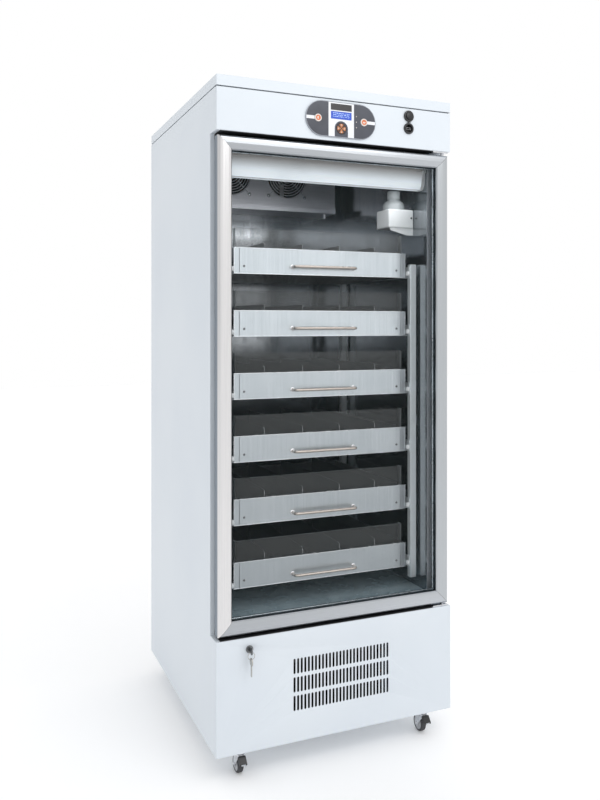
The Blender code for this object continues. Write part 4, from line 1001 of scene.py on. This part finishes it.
def makeDrawer(number):
    chosen = drawerSet
    body = f"drawer_{number}"
    low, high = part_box(f"{body}_tray")
    guardLow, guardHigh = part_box(f"{body}_guard")
    barLow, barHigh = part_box(f"{body}_handle")
    sheet = chosen["sheet"]
    front, rear, bottom = low.y, high.y, low.z
    half = high.x - 0.0085
    side = half - chosen["trayIn"]
    top = bottom + 0.0765
    face = front + chosen["recess"]

    def drawFront(work):
        marks = (-half + 0.0012, -half + chosen["line"], half - chosen["line"], half - 0.0012)
        slit = chosen["slit"] / 2
        for left, right in zip(marks, marks[1:]):
            addBox(work, (left + slit, face, bottom + 0.0008), (right - slit, face + sheet, top - 0.0008))
        for z in (bottom, top - 0.0022):
            addBox(work, (-half, front, z), (half, front + 0.0120, z + 0.0022 if z == bottom else top), 1)
        for x in (-half, half - 0.0020):
            addBox(work, (x, front, bottom + 0.0023), (x + 0.0020, front + 0.0120, top - 0.0023), 1)
        addBox(work, (-side, front + 0.0100, bottom + 0.0023), (side, front + 0.0110, top - 0.0023))
    piece(f"drawer{number}Front", body, (sheetSteel, foldHighlightSteel), drawFront, (f"{body}_tray",),
          rounding=0.0004)

    def drawFloor():
        loops = [[(-side, front + 0.0135), (side, front + 0.0135), (side, rear), (-side, rear)]]
        middle = (chosen["holeColumns"] - 1) / 2
        for row in range(chosen["holeRows"]):
            y = front + 0.038 + row * chosen["rowPitch"]
            for column in range(chosen["holeColumns"]):
                x = (column - middle + (0.25 if row % 2 else -0.25)) * chosen["holePitch"]
                loops.append(stadium(x, y, 0.0023, 0.0085, 4))
        return plateMesh(f"floor{number}", loops, bottom + 0.0006, bottom + 0.0016, 0.0, "XY")
    piece(f"drawer{number}Floor", body, trayShade, drawFloor())

    def drawWalls(work):
        for x in (-side, side - sheet):
            addBox(work, (x, front + 0.0125, bottom + 0.0018), (x + sheet, rear, top - 0.0016))
            addBar(work, [(x + sheet / 2, front + 0.0135, top - 0.0016),
                          (x + sheet / 2, rear - 0.0005, top - 0.0016)],
                   0.0012, 8)
        addBox(work, (-side + sheet, rear - sheet, bottom + 0.0018), (side - sheet, rear, top - 0.0016))
        for sign in (-1, 1):
            edges = sorted((sign * (side + 0.0002), sign * (side + chosen["flange"])))
            flange = bottom + 0.0130 + chosen["roller"] + 0.0007
            addBox(work, (edges[0], front + 0.0125, flange), (edges[1], rear - 0.004, flange + 0.0012))
    piece(f"drawer{number}Walls", body, trayShade, drawWalls, rounding=0.0002)

    def drawDividers(work):
        start = front + chosen["guard"] + 0.0046
        peak = top + chosen["rise"]
        for divider in range(chosen["dividers"]):
            x = (divider - (chosen["dividers"] - 1) / 2) * chosen["step"] * 2 * side
            outline = [(start, bottom + 0.0018), (start, peak - 0.006), (start + 0.0018, peak - 0.0018),
                       (start + 0.006, peak), (rear - 0.0015, peak), (rear - 0.0015, bottom + 0.0018)]
            addPrism(work, outline, "X", x - 0.0005, x + 0.0005)
            addBar(work, [(x, start + 0.0004, bottom + 0.0030), (x, start + 0.0004, peak - 0.0065),
                          (x, start + 0.0016, peak - 0.0022), (x, start + 0.0060, peak - 0.0006),
                          (x, start + 0.0120, peak - 0.0006)], 0.0011, 8, 1)
    piece(f"drawer{number}Dividers", body, (dividerShade, foldHighlightSteel), drawDividers, sharp=0.9)

    def drawRollers(work):
        roll = chosen["roller"]
        for sign in (-1, 1):
            profile = [(0, 0.0), (roll - 0.0008, 0.0), (roll, 0.0008), (roll, 0.0060),
                       (roll - 0.0008, 0.0068), (0, 0.0068)]
            addTurned(work, [(r, sign * d) for r, d in profile], "X",
                      (sign * (side + 0.0003), rear - 0.012, bottom + 0.0010 + roll), 24)
    piece(f"drawer{number}Rollers", body, mouldWhite, drawRollers)

    def drawFittings(work):
        for sign in (-1, 1):
            addTurned(work, [(0, 0.0), (0.0072, 0.0), (0.0072, -0.0006), (0.0062, -0.0012), (0, -0.0012)],
                      "Y", (sign * (barHigh.x - 0.0045), face, (barLow.z + barHigh.z) / 2), 20)
    piece(f"drawer{number}Screws", body, brightSteel, drawFittings)

    def drawBolts(work):
        for sign in (-1, 1):
            addScrew(work, sign * (half - chosen["screwIn"]), face + 0.0001, bottom + chosen["screwUp"],
                     chosen["screw"])
    piece(f"drawer{number}Bolts", body, boltSteel, drawBolts)

    def drawHandle(work):
        radius = (barHigh.z - barLow.z) / 2
        z = barLow.z + radius
        x = barHigh.x - radius
        y = barLow.y + radius
        bend = chosen["bend"]
        left = [(-x + bend - bend * cos(pi / 2 * step / 7), y + bend - bend * sin(pi / 2 * step / 7), z)
                for step in range(8)]
        path = [(-x, front + 0.0004, z)] + left + [(-px, py, pz)
                                                   for px, py, pz in reversed(left)] + [(x, front + 0.0004,
                                                                                         z)]
        addBar(work, path, radius, 18)
    piece(f"drawer{number}Bow", body, bowSteel, drawHandle, (f"{body}_handle",), sharp=1.1)

    def drawGuard(work):
        inner = guardHigh.x
        thick, fold = chosen["shield"], chosen["shieldFold"]
        outline = [(-inner, guardLow.y), (inner, guardLow.y), (inner, guardLow.y + fold),
                   (inner - thick, guardLow.y + fold), (inner - thick, guardLow.y + thick),
                   (-inner + thick, guardLow.y + thick), (-inner + thick, guardLow.y + fold),
                   (-inner, guardLow.y + fold)]
        addPrism(work, outline, "Z", guardLow.z, guardHigh.z)
        work.normal_update()
        for made in work.faces:
            outer = abs(made.calc_center_median().x) > inner - 0.0001
            cut = abs(made.normal.z) > 0.9 or (abs(made.normal.x) > 0.9 and outer)
            made.material_index = 1 if cut else 0
    piece(f"drawer{number}Shield", body, (guardClear, edgeClear), drawGuard,
          (f"{body}_guard",))


for number in drawerNumbers:
    makeDrawer(number)
print("drawers dressed")

railSet = {"post": 0.028, "flange": 0.0210, "depth": 0.018, "wall": 0.0016, "rail": 0.0025,
           "roller": 0.0075, "wide": 0.0080, "rise": 0.013, "screw": 0.0034, "screwPitch": 0.1818}


# Two channel posts on each wall, a rail and a front roller for each drawer.
def makeRunners(side, sign):
    chosen = railSet
    low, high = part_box(f"{side}_drawer_frame")
    wall = sign * max(abs(low.x), abs(high.x))
    inner = wall - sign * chosen["post"]
    thick = chosen["wall"]
    front, rear = low.y, high.y - chosen["depth"]

    def drawPosts(work):
        for y in (front, rear):
            face = (inner, inner + sign * thick)
            addBox(work, (min(face), y, low.z), (max(face), y + chosen["depth"], high.z))
            shown = sorted((inner + sign * thick, inner + sign * chosen["flange"]))
            strap = sorted((inner + sign * chosen["flange"], wall))
            far = y + chosen["depth"]
            addBox(work, (shown[0], y, low.z), (shown[1], y + thick, high.z))
            addBox(work, (shown[0], far - thick, low.z), (shown[1], far, high.z))
            for share in (0.02, 0.5, 0.98):
                z = low.z + share * (high.z - low.z)
                addBox(work, (strap[0], far - thick, z - 0.016), (strap[1], far, z + 0.016))
    piece(f"{side}Posts", "cabinet", postSteel, drawPosts, (f"{side}_drawer_frame",),
          rounding=0.0008)

    webInner = inner - sign * chosen["rail"]

    def drawRails(work):
        for number in drawerNumbers:
            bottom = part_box(f"drawer_{number}_tray")[0].z
            ledgeInner = sign * (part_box(f"drawer_{number}_guard")[1].x + 0.0024)
            web = sorted((webInner, inner - sign * 0.0002))
            addBox(work, (web[0], front + 0.002, bottom - 0.0004), (web[1], rear + 0.014, bottom + 0.0336))
            ledge = sorted((ledgeInner, webInner - sign * 0.0001))
            addBox(work, (ledge[0], front + 0.021, bottom - 0.0008),
                   (ledge[1], rear + 0.012, bottom + 0.0005))
    piece(f"{side}Rails", "cabinet", postSteel, drawRails, rounding=0.0005)

    def drawRollers(work):
        roll, wide = chosen["roller"], chosen["wide"]
        profile = [(0, 0.0002), (roll - 0.0010, 0.0002), (roll, 0.0010), (roll, wide - 0.0010),
                   (roll - 0.0010, wide), (0.0040, wide), (0.0034, wide - 0.0007), (0, wide - 0.0007)]
        for number in drawerNumbers:
            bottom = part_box(f"drawer_{number}_tray")[0].z
            addTurned(work, [(r, -sign * d) for r, d in profile], "X",
                      (webInner, front + 0.0046, bottom + chosen["rise"]), 24)
    piece(f"{side}Rollers", "cabinet", mouldWhite, drawRollers, sharp=0.8)

    def drawScrews(work):
        z = low.z + 0.05
        while z < high.z - 0.02:
            for y in (front, rear):
                addScrew(work, inner - sign * 0.0001, y + chosen["depth"] / 2, z, chosen["screw"],
                         (-sign, 0))
            z += chosen["screwPitch"]
    piece(f"{side}PostScrews", "cabinet", brightSteel, drawScrews)


makeRunners("left", -1)
makeRunners("right", 1)
print("runners dressed")

ledSet = {"x": 0.0485, "heights": (0.0145, -0.0015, -0.0175), "radius": 0.0013}


def makePanel():
    face = bezelLow.y
    dress("control_bezel", panelPrint, 0.0006)
    dress("display_window", displayLit)
    dress("cursor_pad", padPrint)
    for side, upright in (("left", True), ("right", False)):
        x = middleOf(f"{side}_button").x
        dress(f"{side}_button", finish(f"{side}KeyPrint", buttonLooks((x, panelZ), upright)))

    def drawLamps(work):
        for rise in ledSet["heights"]:
            addTurned(work, [(0, 0.0002), (ledSet["radius"], 0.0002), (ledSet["radius"], -0.0003),
                             (0.0008, -0.0007), (0, -0.0008)], "Y", (ledSet["x"], face, panelZ + rise), 14)
    piece("panelLamps", "cabinet", paleMark, drawLamps)

    def drawArrows(work):
        centre = (padLow.z + padHigh.z) / 2
        for step in range(4):
            turn = step * pi / 2
            spots = [(0.0125, 0.0), (0.0090, 0.0019), (0.0090, -0.0019)]
            outline = [(a * cos(turn) - b * sin(turn), centre + a * sin(turn) + b * cos(turn))
                       for a, b in spots]
            addPrism(work, outline, "Y", padLow.y - 0.0003, padLow.y + 0.0003)
    piece("padArrows", "cursor_pad_body", paleMark, drawArrows)


socketSet = {"ridges": 40, "ridge": 0.012}


def makeSocket():
    low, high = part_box("usb_socket")
    capLow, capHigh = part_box("socket_cap")
    x, _, z = middleOf("usb_socket")
    radius = (high.x - low.x) / 2
    knurl = knurled(socketSet["ridges"], socketSet["ridge"])
    rim = [(0.0112, 0.008), (0.0112, -0.0032), (0.0118, -0.0047), (0.0128, -0.0050),
           (radius - 0.0014, -0.0050), (radius, -0.0036), (radius, -0.0003), (0.0128, -0.0003),
           (0.0128, 0.0295), (0.0118, 0.0295), (0.0118, 0.008)]

    def drawRing(work):
        addTurned(work, rim, "Y", (x, frontY, z), 4 * socketSet["ridges"], True, wobble=knurl)
        addTurned(work, [(0, 0.0079), (0.0120, 0.0079), (0.0120, 0.0084), (0, 0.0084)], "Y", (x, frontY, z),
                  32)
        addBox(work, (x - 0.0055, frontY + 0.0004, z - 0.0010), (x + 0.0055, frontY + 0.0080, z + 0.0010))
    piece("socketRing", "cabinet", blackGloss, drawRing, ("usb_socket",), sharp=0.9)

    def drawShell(work):
        wide, tall, sheet = 0.0068, 0.0032, 0.0004
        for a, b in (((-wide, -tall), (wide, -tall + sheet)), ((-wide, tall - sheet), (wide, tall)),
                     ((-wide, -tall + sheet), (-wide + sheet, tall - sheet)),
                     ((wide - sheet, -tall + sheet), (wide, tall - sheet))):
            addBox(work, (x + a[0], frontY - 0.0008, z + a[1]), (x + b[0], frontY + 0.0078, z + b[1]))
    piece("socketShell", "cabinet", brightSteel, drawShell)

    capX, capZ = (capLow.x + capHigh.x) / 2, capHigh.z - radius
    back = frontY - 0.0005
    disc = [(0, back - frontY), (radius - 0.0006, back - frontY), (radius, back - frontY - 0.0008),
            (radius, back - frontY - 0.0032), (radius - 0.0012, back - frontY - 0.0040),
            (0.0112, back - frontY - 0.0040), (0.0108, back - frontY - 0.0034),
            (0.0099, back - frontY - 0.0034), (0.0098, back - frontY - 0.0066),
            (0.0090, back - frontY - 0.0070), (0, back - frontY - 0.0070)]

    def drawCap(work):
        addTurned(work, disc, "Y", (capX, frontY, capZ), 48)
        neck = [(capX - 0.0040, capLow.z + 0.0022), (capX + 0.0040, capLow.z + 0.0022),
                (capX + 0.0062, capZ - radius + 0.0035), (capX - 0.0062, capZ - radius + 0.0035)]
        addPrism(work, neck, "Y", frontY - 0.0046, frontY - 0.0034)
        addBar(work, [(capX - 0.0045, frontY - 0.0049, capLow.z + 0.0015),
                      (capX + 0.0045, frontY - 0.0049, capLow.z + 0.0015)],
               0.0014, 12)
    piece("socketFlap", "cap", blackGloss, drawCap, ("socket_cap",), sharp=0.8)


makePanel()
makeSocket()
dress("door_lock", boltSteel, 0.0003)
dress("spare_key", keyMetal, 0.0003)
dress("power_inlet", blackMatt, 0.0005)
print("panel dressed")

casterSet = {"plate": 0.019, "plateThick": 0.0035, "bridge": 0.0535, "bridgeThick": 0.0040, "cheek": 0.0020}


def makeCaster(name, braked):
    chosen = casterSet
    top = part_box(f"{name}_fork")[1].z
    wheelLow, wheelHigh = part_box(f"{name}_wheel")
    radius = (wheelHigh.z - wheelLow.z) / 2
    axle = (wheelLow + wheelHigh) / 2
    x = axle.x
    towards = 1 if braked else -1
    y = axle.y - towards * 0.016
    inside = (wheelHigh.x - wheelLow.x) / 2 + 0.0012
    outside = inside + chosen["cheek"]
    bridge = chosen["bridge"]

    def drawPlate(work):
        addTurned(work, [(0, top - chosen["plateThick"]),
                         (chosen["plate"] - 0.0008, top - chosen["plateThick"]),
                         (chosen["plate"], top - chosen["plateThick"] + 0.0008),
                         (chosen["plate"], top - 0.0008), (chosen["plate"] - 0.0008, top), (0, top)], "Z",
                         (x, y, 0), 32)
    piece(f"{name}Plate", name, blackGloss, drawPlate, (f"{name}_fork",))

    def drawFork(work):
        crest = bridge + chosen["bridgeThick"]
        addTurned(work, [(0, crest - 0.0010), (0.0135, crest - 0.0010), (0.0145, crest + 0.0006),
                         (0.0145, crest + 0.0030), (0.0120, crest + 0.0044),
                         (0.0120, top - chosen["plateThick"] - 0.0002),
                         (0, top - chosen["plateThick"] - 0.0002)], "Z", (x, y, 0), 28)
        arch = [(x - outside, bridge - 0.004), (x - outside, bridge + 0.0010),
                (x - outside + 0.0022, crest - 0.0006), (x - outside + 0.0040, crest),
                (x + outside - 0.0040, crest), (x + outside - 0.0022, crest - 0.0006),
                (x + outside, bridge + 0.0010), (x + outside, bridge - 0.004), (x + inside, bridge - 0.004),
                (x + inside, bridge), (x - inside, bridge), (x - inside, bridge - 0.004)]
        ends = sorted((y - towards * 0.013, y + towards * 0.020))
        addPrism(work, arch, "Y", ends[0], ends[1])
        cheek = [(y - towards * 0.0128, bridge - 0.0036), (y + towards * 0.0198, bridge - 0.0036)]
        steps = 8
        for step in range(steps + 1):
            turn = pi * step / steps
            cheek.append((axle.y + towards * 0.0075 * cos(turn), axle.z - 0.0075 * sin(turn) + 0.0010))
        for a, b in ((x - outside, x - inside), (x + inside, x + outside)):
            addPrism(work, cheek, "X", a, b)
        for sign in (-1, 1):
            addTurned(work, [(0, sign * (outside + 0.0001)), (0.0048, sign * (outside + 0.0001)),
                             (0.0048, sign * (outside + 0.0016)), (0.0030, sign * (outside + 0.0024)),
                             (0, sign * (outside + 0.0024))], "X", axle, 6)
    piece(f"{name}Fork", name, brightSteel, drawFork, rounding=0.0005)

    if braked:
        crest = bridge + chosen["bridgeThick"]

        def drawPedal(work):
            outline = [(y - 0.0132, crest + 0.0004), (y - 0.0132, crest - 0.0070),
                       (y - 0.0262, crest - 0.0192), (y - 0.0310, crest - 0.0192),
                       (y - 0.0310, crest - 0.0152), (y - 0.0182, crest + 0.0004)]
            addPrism(work, outline, "X", x - 0.0110, x + 0.0110)
        piece(f"{name}Pedal", name, blackGloss, drawPedal, rounding=0.0011)

        def drawTreadMark(work):
            for rise in (0.0, 0.0035):
                addBar(work, [(x - 0.0062, y - 0.0312, crest - 0.0176 + rise * 0.5),
                              (x + 0.0062, y - 0.0312, crest - 0.0176 + rise * 0.5)], 0.0006, 8)
        piece(f"{name}PedalGrip", name, foldHighlightSteel, drawTreadMark)

    rim = (wheelHigh.x - wheelLow.x) / 2
    tread = radius - 0.0055

    def drawWheel(work):
        hub = [(0.0036, -rim), (0.0085, -rim), (0.0098, -rim + 0.0020), (tread - 0.0022, -rim + 0.0026),
               (tread - 0.0004, -rim + 0.0010), (tread - 0.0004, rim - 0.0010),
               (tread - 0.0022, rim - 0.0026), (0.0098, rim - 0.0020), (0.0085, rim), (0.0036, rim)]
        tyre = [(tread, -rim + 0.0006), (radius - 0.0036, -rim), (radius - 0.0012, -rim + 0.0014),
                (radius, -rim + 0.0042), (radius, rim - 0.0042), (radius - 0.0012, rim - 0.0014),
                (radius - 0.0036, rim), (tread, rim - 0.0006)]
        addTurned(work, hub, "X", axle, 40, True, 1)
        addTurned(work, tyre, "X", axle, 48, True, 0)
    piece(f"{name}Tyre", f"{name}_roll", (wheelGrey, wheelHub), drawWheel, (f"{name}_wheel",),
          sharp=0.7)


for side, braked in (("front_left", True), ("front_right", True), ("rear_left", False),
                     ("rear_right", False)):
    makeCaster(f"{side}_caster", braked)
print("casters dressed")

condenserSet = {"half": 0.150, "front": 0.050, "pitch": 0.0062, "centre": 0.0048, "height": 0.200,
                "rows": 6, "rowPitch": 0.030}


def makeCoolingUnit():
    chosen = condenserSet
    dress("cooling_unit", unitEnamel, 0.0012)
    dress("condenser_fan", blackMatt, 0.0004)
    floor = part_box("cooling_unit")[0].z
    front = frontY + chosen["front"]

    def drawFins(work):
        x = chosen["centre"] - chosen["half"] + 0.004
        while x < chosen["centre"] + chosen["half"] - 0.004:
            addBox(work, (x, front - 0.0080, floor + 0.008),
                   (x + 0.0005, front - 0.0004, floor + chosen["height"]))
            x += chosen["pitch"]
    piece("condenserFins", "cabinet", finShadeBlack, drawFins)

    def drawBends(work):
        for row in range(chosen["rows"]):
            z = floor + 0.028 + row * chosen["rowPitch"]
            for sign in (-1, 1):
                x = chosen["centre"] + sign * (chosen["half"] + 0.0004)
                path = [(x + sign * 0.009 * sin(pi * step / 8), front + 0.011,
                         z + 0.0075 * (1 - cos(pi * step / 8)))
                        for step in range(9)]
                addBar(work, path, 0.0032, 10)
    piece("condenserBends", "cabinet", copper, drawBends)


makeCoolingUnit()
print("cooling unit dressed")
